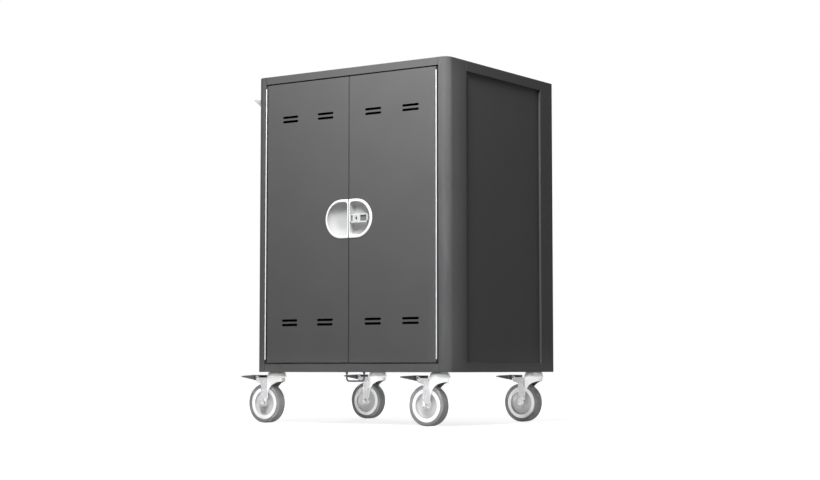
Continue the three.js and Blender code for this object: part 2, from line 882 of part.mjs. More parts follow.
// Outline of the fork from above: half an ellipse at the nose, open at the tail.
function forkOutline(inset, tail) {
  const half = forkWidth / 2 - inset;
  const nose = arc([0, 0], 1, Math.PI / 2, (3 * Math.PI) / 2, noseSteps);
  const bend = nose.map(([x, y]) => [noseLength - crownNose + (noseLength - inset) * x, half * y]);
  return [...bend, [tail, -half], [tail, half]];
}

// Fork trailing towards +X: a pressed channel whose edge sweeps from the nose down to the legs, and
// the tail's two ears that carry the brake pedal.
function casterFork() {
  const half = forkWidth / 2;
  const lip = crownZ - noseLip;
  const skirtLow = crownZ - skirtHeight;
  const behind = casterTrail + legBehind;
  const ahead = casterTrail - legAhead;
  const foot = wheelRadius - legFoot;
  const knee = wheelRadius + legRise;
  const earLow = crownZ - earDrop;
  const earTop = crownZ + earRise;
  const earStart = earTail - earLength;
  const sweep = new THREE.CubicBezierCurve(
    new THREE.Vector2(ahead, knee),
    new THREE.Vector2(ahead, knee + sweepLift),
    new THREE.Vector2(sweepReach - crownNose, lip),
    new THREE.Vector2(-crownNose, lip),
  );
  const edge = sweep.getPoints(legSteps).map(({ x, y }) => [x, y]);
  const belowNose = [[-noseLength, 0], [ahead, 0], ...edge, [-noseLength, lip]];
  const belowTail = [[behind, 0], [earTail, 0], [earTail, earLow], [earFoot, earLow], [behind, skirtLow]];
  const channel = cut(prismZ(forkOutline(0, crownTail), foot, crownZ), [
    prismZ(forkOutline(legThickness, earTail), foot, crownZ - crownThickness),
    prismY(belowNose, -half, half),
    prismY(belowTail, -half, half),
  ]);
  const ear = [
    [behind, crownZ], [behind, skirtLow], [earFoot, earLow], [earTail, earTop], [earStart, earTop],
    [earStart - earSlope, crownZ],
  ];
  const ears = sides.map(([side]) => {
    const across = [side * (half - legThickness), side * half].sort((a, b) => a - b);
    return prismY(ear, across[0], across[1]);
  });
  return cut(joined([channel, ...ears]), [
    barZ(stemRadius + seam, [0, 0], lip, crownZ, roundSides),
    barY(axleRadius + seam, [casterTrail, wheelRadius], -half, half, roundSides),
    barY(pedalPinRadius + seam, pedalPivot, -half, half, pinSides),
  ]);
}

function casterAxle() {
  const seat = forkWidth / 2 + seam;
  const end = seat + axleHeadLength;
  const profile = [
    [0, -end], [axleHeadRadius, -end], [axleHeadRadius, -seat], [axleRadius, -seat],
    [axleRadius, seat], [axleHeadRadius, seat], [axleHeadRadius, end], [0, end],
  ];
  return solid(spun(profile, roundSides));
}

// Spins half a wheel profile, mirrored across the wheel's middle, into a closed ring about Y.
function wheelRing(halfProfile) {
  const mirrored = halfProfile.map(([radius, y]) => [radius, -y]).reverse();
  const ring = [...halfProfile, ...mirrored];
  return solid(spun([...ring, ring[0]], wheelSides));
}

function casterWheel() {
  return wheelRing([
    [axleRadius + seam, -hubHalfLength],
    [hubOuterRadius, -hubHalfLength],
    [hubOuterRadius, -webHalfThickness],
    [rimInnerRadius, -webHalfThickness],
    [rimInnerRadius, -rimHalfWidth],
    [rimOuterRadius, -rimHalfWidth],
  ]);
}

// Tyre with flat facets that touch the floor at the true wheel radius.
function casterTyre() {
  const tread = wheelRadius / Math.cos(Math.PI / wheelSides);
  return wheelRing([
    [rimOuterRadius + seam, -rimHalfWidth],
    [tread - 2 * tyreShoulder, -tyreHalfWidth],
    [tread - tyreShoulder / 2, -tyreHalfWidth + tyreShoulder],
    [tread, -tyreFlat],
  ]);
}

// Brake pedal about its pin between the tail's ears: a jaw over the crown and a wing that thins out.
function brakePedal() {
  const half = forkWidth / 2;
  const width = half - legThickness - seam;
  const top = pedalZ + pedalThickness;
  const outline = [
    [pedalFront, pedalZ],
    [pedalHeel, pedalZ],
    [pedalRoot, pedalZ - pedalDrop],
    [pedalReach, top - 2 * pedalTip],
    [pedalReach, top - pedalTip],
    [pedalWing, top],
    [pedalFront, top],
  ];
  return joined([prismY(outline, -width, width), barY(pedalPinRadius, pedalPivot, -half, half, pinSides)]);
}

// Assembly
const cart = new THREE.Group();
const add = (parent, name, body, finish) => parent.add(mesh(name, body, finish));

add(cart, 'base_pan', basePan(), finishes.cabinetPaint);
add(cart, 'top_panel', topPanel(), finishes.cabinetPaint);
const rearFrameLeaf = hingeLeaf(-1, -1, 0, rearHinge, rearHingeSpan, sheet / 2);
add(cart, 'rear_left_post', joined([rearPost(-1), rearFrameLeaf]), finishes.cabinetPaint);
add(cart, 'rear_right_post', rearPost(1), finishes.cabinetPaint);
add(cart, 'rear_hinge_pin', hingePin(rearHinge, rearHingeSpan), finishes.hingeSteel);
add(cart, 'rear_door', rearDoor(), finishes.cabinetPaint);
for (const [side, name] of sides) {
  const hinge = [side * hingeX, frontHingeY];
  add(cart, `front_${name}_post`, frontPost(side), finishes.cabinetPaint);
  add(cart, `${name}_side_panel`, sidePanel(side), finishes.cabinetPaint);
  add(cart, `${name}_hinge_frame_leaf`, hingeLeaf(side, 1, 0, hinge, frontHingeSpan, 0), finishes.hingeSteel);
  add(cart, `${name}_hinge_door_leaf`, hingeLeaf(-side, 1, 1, hinge, frontHingeSpan, 0), finishes.hingeSteel);
  add(cart, `${name}_hinge_pin`, hingePin(hinge, frontHingeSpan), finishes.hingeSteel);
  add(cart, `${name}_door`, frontDoor(side), finishes.cabinetPaint);
}
const spindleHole = barY(spindleRadius + seam, [lockX, lockZ], cupFloorY, frontY + cupDepth, roundSides);
add(cart, 'left_handle_cup', handleCup(-1), finishes.whitePlastic);
add(cart, 'right_handle_cup', cut(handleCup(1), [spindleHole]), finishes.whitePlastic);

const lock = new THREE.Group();
lock.position.set(lockX, 0, lockZ);
cart.add(lock);
add(lock, 'turn_handle', turnHandle(), finishes.handleZinc);
add(lock, 'lock_plug', lockPlug(), finishes.hingeSteel);
add(lock, 'lock_cam', lockCam(), finishes.zincPlate);

const rearLockPlace = new THREE.Group();
rearLockPlace.position.set(rearLockX, 0, rearLockZ);
cart.add(rearLockPlace);
add(rearLockPlace, 'rear_lock', rearLock(), finishes.zincPlate);

add(cart, 'middle_shelf', middleShelf(), finishes.cabinetPaint);
add(cart, 'lower_divider_rack', dividerRack(floorZ), finishes.rackPlastic);
add(cart, 'upper_divider_rack', dividerRack(shelfZ), finishes.rackPlastic);
add(cart, 'cable_partition', cablePartition(), finishes.cabinetPaint);
add(cart, 'power_strip', powerStrip(), finishes.blackPlastic);
add(cart, 'charge_controller', chargeController(), finishes.blackPlastic);
add(cart, 'push_handle', pushHandle(), finishes.gripPlastic);
add(cart, 'tether_loop', tetherLoop(), finishes.darkSteel);

const inlet = new THREE.Group();
inlet.position.set(inletX, 0, inletZ);
cart.add(inlet);
add(inlet, 'mains_inlet', mainsInlet(), finishes.blackPlastic);
const rockerPlace = new THREE.Group();
rockerPlace.position.set(rockerX, rockerY, 0);
rockerPlace.rotation.x = -rockerLean;
inlet.add(rockerPlace);
add(rockerPlace, 'power_switch', rocker(), finishes.blackPlastic);

for (const { name, x, y } of casterPlaces) {
  const caster = new THREE.Group();
  caster.position.set(x, y, 0);
  cart.add(caster);
  add(caster, `${name}_caster_head`, casterHead(), finishes.zincPlate);
  const swivel = new THREE.Group();
  swivel.rotation.z = Math.PI;
  caster.add(swivel);
  add(swivel, `${name}_caster_fork`, casterFork(), finishes.zincPlate);
  add(swivel, `${name}_brake_pedal`, brakePedal(), finishes.blackPlastic);
  const wheel = new THREE.Group();
  wheel.position.set(casterTrail, 0, wheelRadius);
  swivel.add(wheel);
  add(wheel, `${name}_axle`, casterAxle(), finishes.zincPlate);
  add(wheel, `${name}_wheel`, casterWheel(), finishes.wheelPlastic);
  add(wheel, `${name}_tyre`, casterTyre(), finishes.tyreRubber);
}

const extent = new THREE.Box3().setFromObject(cart, true);
cart.position.set(-(extent.min.x + extent.max.x) / 2, -(extent.min.y + extent.max.y) / 2, 0);

export default cart;
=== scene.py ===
"""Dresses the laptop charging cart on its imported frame: fine shapes, finishes, light and camera."""
import logging
import math
from collections.abc import Callable
from dataclasses import dataclass, replace
from enum import Enum

import bmesh
import bpy
from bmesh.types import BMesh
from bpy.types import ID, Material, Mesh, MeshPolygon, Node, NodeSocket, NodeTree, Object
from mathutils import Euler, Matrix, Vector


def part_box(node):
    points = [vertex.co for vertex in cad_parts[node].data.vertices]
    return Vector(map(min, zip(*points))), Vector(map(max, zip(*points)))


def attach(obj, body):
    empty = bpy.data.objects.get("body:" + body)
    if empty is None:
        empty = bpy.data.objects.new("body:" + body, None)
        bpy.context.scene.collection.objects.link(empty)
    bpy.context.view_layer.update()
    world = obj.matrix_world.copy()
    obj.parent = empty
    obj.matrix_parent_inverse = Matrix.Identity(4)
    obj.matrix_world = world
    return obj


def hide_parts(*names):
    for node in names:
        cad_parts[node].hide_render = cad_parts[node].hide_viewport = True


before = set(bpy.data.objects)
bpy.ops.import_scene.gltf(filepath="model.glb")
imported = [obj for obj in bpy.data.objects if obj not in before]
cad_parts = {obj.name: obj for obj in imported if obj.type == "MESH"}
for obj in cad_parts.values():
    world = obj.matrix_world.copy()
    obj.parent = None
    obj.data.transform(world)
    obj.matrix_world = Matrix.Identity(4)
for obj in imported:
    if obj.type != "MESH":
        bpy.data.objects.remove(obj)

LOG = logging.getLogger("charging_cart")
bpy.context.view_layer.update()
MM = 0.001
SMOOTH_ANGLE = math.radians(38)
BEVEL_ANGLE = math.radians(32)
FLAT_ANGLE = math.radians(0.4)
MERGE_DISTANCE = 0.00001
FACING = 0.5
FILLET_STEPS = 6
WHITE = (1.0, 1.0, 1.0, 1.0)
WORN_EDGE = "worn_edge"
WORN_LEVEL = 0.5
WEAR_BREAK = (0.38, 0.62)
WEAR_LIFT = 0.06
WEAR_GAIN = 1.5
DRIFT_STOPS = (0.3, 0.7)
GRAIN_SHARE = 0.5
GRAIN_DETAIL = 3.0
PATCH_DETAIL = 2.0
GLOSSIEST = 0.02
TURNED_IN = (math.pi / 2, 0.0, 0.0)
TURNED_OUT = (-math.pi / 2, 0.0, 0.0)

Pair = tuple[float, float]
Triple = tuple[float, float, float]
Outline = list[Pair]
FaceTest = Callable[[MeshPolygon], bool]


def mm(*values: float) -> Vector:
    """Gives a place or a size in metres from its millimetres."""
    return Vector(values) * MM


class Slot(Enum):
    """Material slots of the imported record."""

    CABINET_PAINT = "cabinet_paint"
    HINGE_STEEL = "hinge_steel"
    WHITE_PLASTIC = "white_plastic"
    HANDLE_ZINC = "handle_zinc"
    ZINC_PLATE = "zinc_plate"
    DARK_STEEL = "dark_steel"
    GRIP_PLASTIC = "grip_plastic"
    RACK_PLASTIC = "rack_plastic"
    BLACK_PLASTIC = "black_plastic"
    WHEEL_PLASTIC = "wheel_plastic"
    TYRE_RUBBER = "tyre_rubber"


class Axis(Enum):
    """The axis that a shape is spun about or raised along."""

    Y = "y"
    Z = "z"

    def place(self, first: float, second: float, height: float) -> Vector:
        """Gives a point in metres from two millimetre places across the axis and one along it."""
        return mm(first, height, second) if self is Axis.Y else mm(first, second, height)


def feed(tree: NodeTree, socket: NodeSocket, value: object) -> None:
    """Links an input to another node's output, or sets it to a constant.

    Args:
        tree: The node tree.
        socket: The input.
        value: An output socket or the constant.
    """
    if isinstance(value, NodeSocket):
        tree.links.new(value, socket)
    else:
        socket.default_value = value


def add_node(tree: NodeTree, kind: str, **inputs: object) -> Node:
    """Adds a node and feeds its inputs.

    Args:
        tree: The node tree.
        kind: The node's type.
        inputs: Sockets or constants by input name, with underscores for spaces.

    Returns:
        The new node.
    """
    node = tree.nodes.new(kind)
    for name, value in inputs.items():
        feed(tree, node.inputs[name.replace("_", " ")], value)
    return node


def maths(tree: NodeTree, operation: str, *values: object) -> NodeSocket:
    """Adds a sum on sockets and constants.

    Args:
        tree: The node tree.
        operation: The kind of sum.
        values: Its inputs in order.

    Returns:
        The result's socket.
    """
    node = tree.nodes.new("ShaderNodeMath")
    node.operation = operation
    for socket, value in zip(node.inputs, values):
        feed(tree, socket, value)
    return node.outputs[0]


@dataclass(frozen=True)
class Finish:
    """A procedural surface: drifting colour, drifting gloss and a fine relief in the material's own scale."""

    name: str
    color: Triple
    drift: float = 0.05
    metallic: float = 0.0
    roughness: float = 0.5
    gloss_drift: float = 0.06
    grain_mm: float = 0.8
    relief: float = 0.1
    relief_mm: float = 0.06
    patch_mm: float = 90.0
    stretch: Triple = (1.0, 1.0, 1.0)
    specular: float = 0.5
    wear: float = 0.35

    def material(self) -> Material:
        """Builds the node material once and hands it out afterwards.

        Returns:
            The finish's material.
        """
        known = bpy.data.materials.get(self.name)
        if known:
            return known
        made = bpy.data.materials.new(self.name)
        made.use_nodes = True
        tree = made.node_tree
        shader = tree.nodes["Principled BSDF"].inputs
        shader["Metallic"].default_value = self.metallic
        shader["Specular IOR Level"].default_value = self.specular
        place = tree.nodes.new("ShaderNodeTexCoord").outputs["Object"]
        mapping = add_node(tree, "ShaderNodeMapping", Vector=place, Scale=self.stretch).outputs["Vector"]
        grain = self._noise(tree, mapping, self.grain_mm, GRAIN_DETAIL)
        patch = self._noise(tree, mapping, self.patch_mm, PATCH_DETAIL)
        feed(tree, shader["Base Color"], self._worn(tree, self._drifted(tree, patch, grain), patch))
        gloss = add_node(tree, "ShaderNodeMapRange", Value=patch,
                         To_Min=max(GLOSSIEST, self.roughness - self.gloss_drift),
                         To_Max=min(1.0, self.roughness + self.gloss_drift))
        feed(tree, shader["Roughness"], gloss.outputs["Result"])
        bump = add_node(tree, "ShaderNodeBump", Strength=self.relief, Distance=self.relief_mm * MM,
                        Height=grain)
        feed(tree, shader["Normal"], bump.outputs["Normal"])
        return made

    @staticmethod
    def _noise(tree: NodeTree, place: NodeSocket, size_mm: float,
               detail: float) -> NodeSocket:
        """Adds a noise whose features measure about size_mm.

        Args:
            tree: The material's node tree.
            place: The coordinates.
            size_mm: Feature size in millimetres.
            detail: Octaves of finer noise.

        Returns:
            The noise's socket.
        """
        noise = add_node(tree, "ShaderNodeTexNoise", Vector=place, Scale=1.0 / (size_mm * MM), Detail=detail)
        return noise.outputs["Fac"]

    def _drifted(self, tree: NodeTree, patch: NodeSocket,
                 grain: NodeSocket) -> NodeSocket:
        """Lets the colour drift between a darker and a lighter shade over patches and grain.

        Args:
            tree: The material's node tree.
            patch: The broad noise.
            grain: The fine noise.

        Returns:
            The colour's socket.
        """
        fine = maths(tree, "MULTIPLY", grain, GRAIN_SHARE)
        mixed = maths(tree, "MULTIPLY_ADD", patch, 1.0 - GRAIN_SHARE, fine)
        ramp = add_node(tree, "ShaderNodeValToRGB", Fac=mixed)
        for stop, place, way in zip(ramp.color_ramp.elements, DRIFT_STOPS, (-1, 1)):
            stop.position = place
            stop.color = (*(min(1.0, c * (1.0 + way * self.drift)) for c in self.color), 1.0)
        return ramp.outputs["Color"]

    def _worn(self, tree: NodeTree, plain: NodeSocket,
              patch: NodeSocket) -> NodeSocket:
        """Lightens the colour in broken stretches along the edges that the mesh marks as worn.

        Args:
            tree: The material's node tree.
            plain: The unworn colour.
            patch: The broad noise that breaks the wear up.

        Returns:
            The worn colour's socket.
        """
        edge = tree.nodes.new("ShaderNodeAttribute")
        edge.attribute_name = WORN_EDGE
        first, last = WEAR_BREAK
        broken = add_node(tree, "ShaderNodeMapRange", Value=patch, From_Min=first, From_Max=last,
                          To_Max=self.wear)
        bare = (*(min(1.0, WEAR_LIFT + WEAR_GAIN * c) for c in self.color), 1.0)
        amount = maths(tree, "MULTIPLY", edge.outputs["Fac"], broken.outputs["Result"])
        mix = add_node(tree, "ShaderNodeMixRGB", Fac=amount, Color1=plain, Color2=bare)
        return mix.outputs["Color"]


FINISHES = {
    Slot.CABINET_PAINT: Finish("dark_powder_coat", (0.085, 0.085, 0.086), gloss_drift=0.05, grain_mm=0.9,
                               relief=0.16, relief_mm=0.08, specular=0.05),
    Slot.HINGE_STEEL: Finish("bright_hinge_steel", (0.88, 0.885, 0.89), drift=0.03, metallic=0.55,
                             roughness=0.34, grain_mm=0.5, relief=0.08, relief_mm=0.05,
                             stretch=(1.0, 1.0, 0.15)),
    Slot.WHITE_PLASTIC: Finish("satin_white_moulding", (0.78, 0.783, 0.786), drift=0.02, roughness=0.36,
                               gloss_drift=0.05, grain_mm=0.6, relief=0.06, relief_mm=0.04),
    Slot.HANDLE_ZINC: Finish("satin_zinc_casting", (0.72, 0.725, 0.73), metallic=0.7, roughness=0.34,
                             gloss_drift=0.08),
    Slot.ZINC_PLATE: Finish("bright_zinc_plate", (0.56, 0.565, 0.573), metallic=0.75, roughness=0.27,
                            gloss_drift=0.09, grain_mm=1.6, relief=0.08, patch_mm=30.0, wear=0.95),
    Slot.DARK_STEEL: Finish("dark_coated_rod", (0.05, 0.05, 0.053), drift=0.1, metallic=0.3, roughness=0.45,
                            gloss_drift=0.08, grain_mm=0.7, relief=0.12),
    Slot.GRIP_PLASTIC: Finish("pale_grey_grip", (0.48, 0.485, 0.49), drift=0.04, roughness=0.52,
                              grain_mm=0.7, relief=0.2, relief_mm=0.08),
    Slot.RACK_PLASTIC: Finish("dark_divider_plastic", (0.035, 0.036, 0.039), drift=0.1, roughness=0.55,
                              gloss_drift=0.08, relief=0.22, relief_mm=0.1),
    Slot.BLACK_PLASTIC: Finish("black_grained_plastic", (0.022, 0.022, 0.024), drift=0.1, gloss_drift=0.08,
                               grain_mm=0.6, relief=0.25, relief_mm=0.1),
    Slot.WHEEL_PLASTIC: Finish("pale_wheel_plastic", (0.74, 0.743, 0.746), drift=0.03, roughness=0.4,
                               grain_mm=0.9, relief=0.08, patch_mm=40.0),
    Slot.TYRE_RUBBER: Finish("grey_tyre_rubber", (0.165, 0.165, 0.167), drift=0.08, roughness=0.68,
                             gloss_drift=0.08, relief=0.25, relief_mm=0.12, patch_mm=35.0),
}
# Darker copies of the white moulding for the cup bowls: painted shade inside the recessed handle.
PAINTED_BOWL_SHADE = replace(FINISHES[Slot.WHITE_PLASTIC], name="painted_shade_cup_bowl", color=(0.42, 0.422, 0.425),
                    roughness=0.4)
PAINTED_CUP_FLOOR_SHADE = replace(PAINTED_BOWL_SHADE, name="painted_shade_cup_floor", color=(0.54, 0.542, 0.545), roughness=0.45)
WEB_GREY = replace(FINISHES[Slot.WHEEL_PLASTIC], name="grey_wheel_web", color=(0.385, 0.387, 0.39),
                   roughness=0.45)
# Painted shade for the recessed pockets of the turn handle.
PAINTED_POCKET_SHADE = Finish("shaded_lever_pocket", (0.17, 0.17, 0.172), metallic=0.3, grain_mm=0.7, relief=0.12)
# Bright zinc of the bearing cap; on the fork's nose it is a painted highlight.
BRIGHT_CAP_AND_NOSE_HIGHLIGHT = Finish("bright_cap_and_painted_nose_highlight", (0.86, 0.863, 0.868), drift=0.03, metallic=0.25, roughness=0.25,
                    grain_mm=1.6, relief=0.06, relief_mm=0.05, patch_mm=30.0)
# Painted shade: near-black for the edges, jambs, rail underside and hinge leaves that lie in the shadow of
# the gaps.
PAINTED_GAP_SHADE = Finish("painted_gap_shade", (0.012, 0.012, 0.012), roughness=0.6, specular=0.05, wear=0.0)
# Painted shade for the hollow under the fork's crown.
PAINTED_HOLLOW_SHADE = Finish("shaded_fork_hollow", (0.045, 0.045, 0.046), drift=0.06, metallic=0.2, patch_mm=30.0)
PEDAL_GREY = Finish("dark_grey_pedal", (0.09, 0.09, 0.094), drift=0.1, roughness=0.48, gloss_drift=0.07,
                    grain_mm=0.7, relief=0.22, relief_mm=0.1, patch_mm=30.0)
SOCKET_GREY = Finish("grey_socket_insert", (0.16, 0.16, 0.165), drift=0.06, grain_mm=0.6, relief=0.15,
                     patch_mm=30.0)


def add_object(name: str, data: ID) -> Object:
    """Makes an object of some data and links it to the scene.

    Args:
        name: The object's name.
        data: Its mesh, lamp or camera.

    Returns:
        The new object.
    """
    made = bpy.data.objects.new(name, data)
    bpy.context.scene.collection.objects.link(made)
    return made


def fill_mesh(bm: BMesh, name: str, finish: Finish, turn_out: bool = True) -> Object:
    """Makes a finished object out of a bmesh, smooth except at sharp edges.

    Args:
        bm: The shape, freed here.
        name: The piece's name.
        finish: Its finish.
        turn_out: Whether the faces are turned to point outwards.

    Returns:
        The new object, linked to the scene.
    """
    bmesh.ops.remove_doubles(bm, verts=bm.verts, dist=MERGE_DISTANCE)
    if turn_out:
        bmesh.ops.recalc_face_normals(bm, faces=bm.faces)
    mesh = bpy.data.meshes.new(name)
    bm.to_mesh(mesh)
    bm.free()
    mesh.materials.append(finish.material())
    smooth_shading(mesh)
    return add_object(name, mesh)


def smooth_shading(mesh: Mesh) -> None:
    """Shades a mesh smooth, with its sharp edges kept."""
    mesh.shade_smooth()
    mesh.set_sharp_from_angle(angle=SMOOTH_ANGLE)


def settle(piece: Object) -> None:
    """Turns a piece's modifiers into plain mesh.

    Args:
        piece: The object whose modifiers are taken into its mesh and removed.
    """
    graph = bpy.context.evaluated_depsgraph_get()
    mesh = bpy.data.meshes.new_from_object(piece.evaluated_get(graph))
    piece.modifiers.clear()
    old = piece.data
    piece.data = mesh
    bpy.data.meshes.remove(old)


def mark_worn(mesh: Mesh, width: float) -> None:
    """Marks the narrow faces of a bevel as worn edges.

    Args:
        mesh: The bevelled mesh.
        width: The bevel's width in metres.
    """
    worn = mesh.attributes.new(WORN_EDGE, "FLOAT", "FACE")
    for face in mesh.polygons:
        points = [mesh.vertices[i].co for i in face.vertices]
        longest = max((a - b).length for a, b in zip(points, points[1:] + points[:1]))
        worn.data[face.index].value = float(face.area < longest * width)


def worn_faces(piece: Object) -> list[bool]:
    """Tells for each face of a bevelled piece whether it is a worn edge."""
    return [mark.value > WORN_LEVEL for mark in piece.data.attributes[WORN_EDGE].data]


def behind_front(piece: Object, depth_mm: float) -> float:
    """Gives the place along y that lies depth_mm behind the foremost point of a piece, in metres."""
    return min(corner.co.y for corner in piece.data.vertices) + depth_mm * MM


def bevelled(piece: Object, width_mm: float, segments: int = 2) -> Object:
    """Rounds the sharp edges of a piece.

    Args:
        piece: The object to round.
        width_mm: Width of the rounding.
        segments: Faces across the rounding.

    Returns:
        The same object.
    """
    bevel = piece.modifiers.new("edges", "BEVEL")
    bevel.width = width_mm * MM
    bevel.segments = segments
    bevel.limit_method = "ANGLE"
    bevel.angle_limit = BEVEL_ANGLE
    bevel.use_clamp_overlap = True
    bevel.harden_normals = True
    settle(piece)
    mark_worn(piece.data, width_mm * MM)
    return piece


def mount(piece: Object, body: str, slot: Slot, *nodes: str) -> Object:
    """Puts a finished piece on its body.

    Args:
        piece: The finished object.
        body: The body that it moves with.
        slot: The record's slot; not used.
        nodes: The solids that it stands for.

    Returns:
        The same object.
    """
    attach(piece, body)
    if nodes:
        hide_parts(*nodes)
    LOG.info("%s on %s, %d faces", piece.name, body, len(piece.data.polygons))
    return piece


def solid_copy(node: str, name: str, finish: Finish, width_mm: float, segments: int = 2) -> Object:
    """Copies a solid, clears its flat faces of seams and rounds its edges.

    Args:
        node: The solid's name.
        name: The new piece's name.
        finish: Its finish.
        width_mm: Width of the rounded edges.
        segments: Faces across the rounding.

    Returns:
        The new object.
    """
    bm = bmesh.new()
    bm.from_mesh(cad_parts[node].data)
    bmesh.ops.remove_doubles(bm, verts=bm.verts, dist=MERGE_DISTANCE)
    bmesh.ops.dissolve_limit(bm, angle_limit=FLAT_ANGLE, verts=bm.verts, edges=bm.edges)
    return bevelled(fill_mesh(bm, name, finish, turn_out=False), width_mm, segments)


def dress_solid(node: str, body: str, slot: Slot, width_mm: float, segments: int = 2) -> Object:
    """Replaces a solid by a copy with rounded edges and its slot's finish.

    Args:
        node: The solid's name.
        body: The body that it moves with.
        slot: Its material slot.
        width_mm: Width of the rounded edges.
        segments: Faces across the rounding.

    Returns:
        The new object.
    """
    piece = solid_copy(node, f"{node}_finished", FINISHES[slot], width_mm, segments)
    return mount(piece, body, slot, node)


def add_loft(bm: BMesh, rings: list[list[Vector]], cap_first: bool, cap_last: bool,
             closed: bool = False) -> None:
    """Skins a row of equal rings.

    Args:
        bm: The mesh to add to.
        rings: Rings of points, each with as many points as the next.
        cap_first: Whether the first ring is filled.
        cap_last: Whether the last ring is filled.
        closed: Whether the last ring joins the first.
    """
    made = [[bm.verts.new(point) for point in ring] for ring in rings]
    pairs = list(zip(made, made[1:]))
    if closed:
        pairs.append((made[-1], made[0]))
    count = len(rings[0])
    for low, high in pairs:
        for i in range(count):
            j = (i + 1) % count
            bm.faces.new((low[i], low[j], high[j], high[i]))
    if cap_first:
        bm.faces.new(list(reversed(made[0])))
    if cap_last:
        bm.faces.new(made[-1])


def spun(profile: Outline, centre: Vector, axis: Axis, steps: int, closed: bool = False,
         into: BMesh | None = None) -> BMesh:
    """Spins a profile of radius and height in millimetres about an axis through a point.

    Args:
        profile: Points of radius and height, from end to end or round a ring section.
        centre: Point on the axis from which heights count, in metres.
        axis: The axis.
        steps: Faces round the axis.
        closed: Whether the profile is a ring section.
        into: A mesh to add to, or none for a new one.

    Returns:
        The mesh.
    """
    turns = [math.tau * i / steps for i in range(steps)]
    rings = [[centre + axis.place(radius * math.cos(turn), radius * math.sin(turn), height) for turn in turns]
             for radius, height in profile]
    bm = into or bmesh.new()
    add_loft(bm, rings, not closed, not closed, closed)
    return bm


def arc(centre: Pair, radius: float, start: float, end: float, steps: int) -> Outline:
    """Points along an arc, both ends included.

    Args:
        centre: The arc's centre.
        radius: Its radius.
        start: First angle in degrees.
        end: Last angle in degrees.
        steps: Number of chords.

    Returns:
        The points.
    """
    angles = [math.radians(start + (end - start) * i / steps) for i in range(steps + 1)]
    return [(centre[0] + radius * math.cos(a), centre[1] + radius * math.sin(a)) for a in angles]


def rounded(corners: list[Triple], steps: int = FILLET_STEPS) -> Outline:
    """Rounds the corners of an open outline.

    Args:
        corners: Points, each with the radius of its rounding, or zero for a sharp corner.
        steps: Chords round each corner.

    Returns:
        The rounded outline's points.
    """
    points = []
    for i, (x, y, radius) in enumerate(corners):
        if not radius:
            points.append((x, y))
            continue
        here = Vector((x, y))
        back = (Vector(corners[i - 1][:2]) - here).normalized()
        ahead = (Vector(corners[i + 1][:2]) - here).normalized()
        half = back.angle(ahead) / 2
        centre = here + (back + ahead).normalized() * radius / math.sin(half)
        first = here + back * radius / math.tan(half) - centre
        last = here + ahead * radius / math.tan(half) - centre
        start = math.degrees(math.atan2(first.y, first.x))
        turn = (math.degrees(math.atan2(last.y, last.x)) - start + 180) % 360 - 180
        points += arc(tuple(centre), radius, start, start + turn, steps)
    return points


def flat_box(node: str) -> tuple[Vector, Vector]:
    """Gives a solid's corners in millimetres."""
    low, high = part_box(node)
    return Vector(low) / MM, Vector(high) / MM


def folded(path: Outline, thickness: float) -> Outline:
    """Gives a bent sheet's section from the path of its outer face.

    Args:
        path: Corners of the outer face, with the sheet on the left of the way along it.
        thickness: The sheet's thickness.

    Returns:
        The closed section.
    """
    inner: Outline = []
    last = len(path) - 1
    for i, (x, y) in enumerate(path):
        before = Vector(path[i]) - Vector(path[i - 1]) if i else Vector(path[1]) - Vector(path[0])
        after = Vector(path[i + 1]) - Vector(path[i]) if i < last else before
        left = [Vector((-way.y, way.x)).normalized() for way in (before, after)]
        middle = (left[0] + left[1]).normalized()
        reach = thickness / middle.dot(left[0])
        inner.append((x + middle.x * reach, y + middle.y * reach))
    return path + inner[::-1]


def prism(outline: Outline, low: float, high: float, axis: Axis) -> BMesh:
    """Raises an outline in millimetres along an axis.

    Args:
        outline: Points of x and y, or of x and z for the y axis.
        low: First height.
        high: Last height.
        axis: The axis.

    Returns:
        The new mesh.
    """
    bm = bmesh.new()
    add_loft(bm, [[axis.place(*point, height) for point in outline] for height in (low, high)], True, True)
    return bm


ROW_INPUTS = {"Count": "Int", "Start": "Vector", "Step": "Vector", "Size": "Vector", "Turn": "Vector",
              "Taper": "Float", "Sides": "Int", "Finish": "Material"}


class RowShape(Enum):
    """What a row of copies is made of."""

    ROUND = "round"
    BAR = "bar"


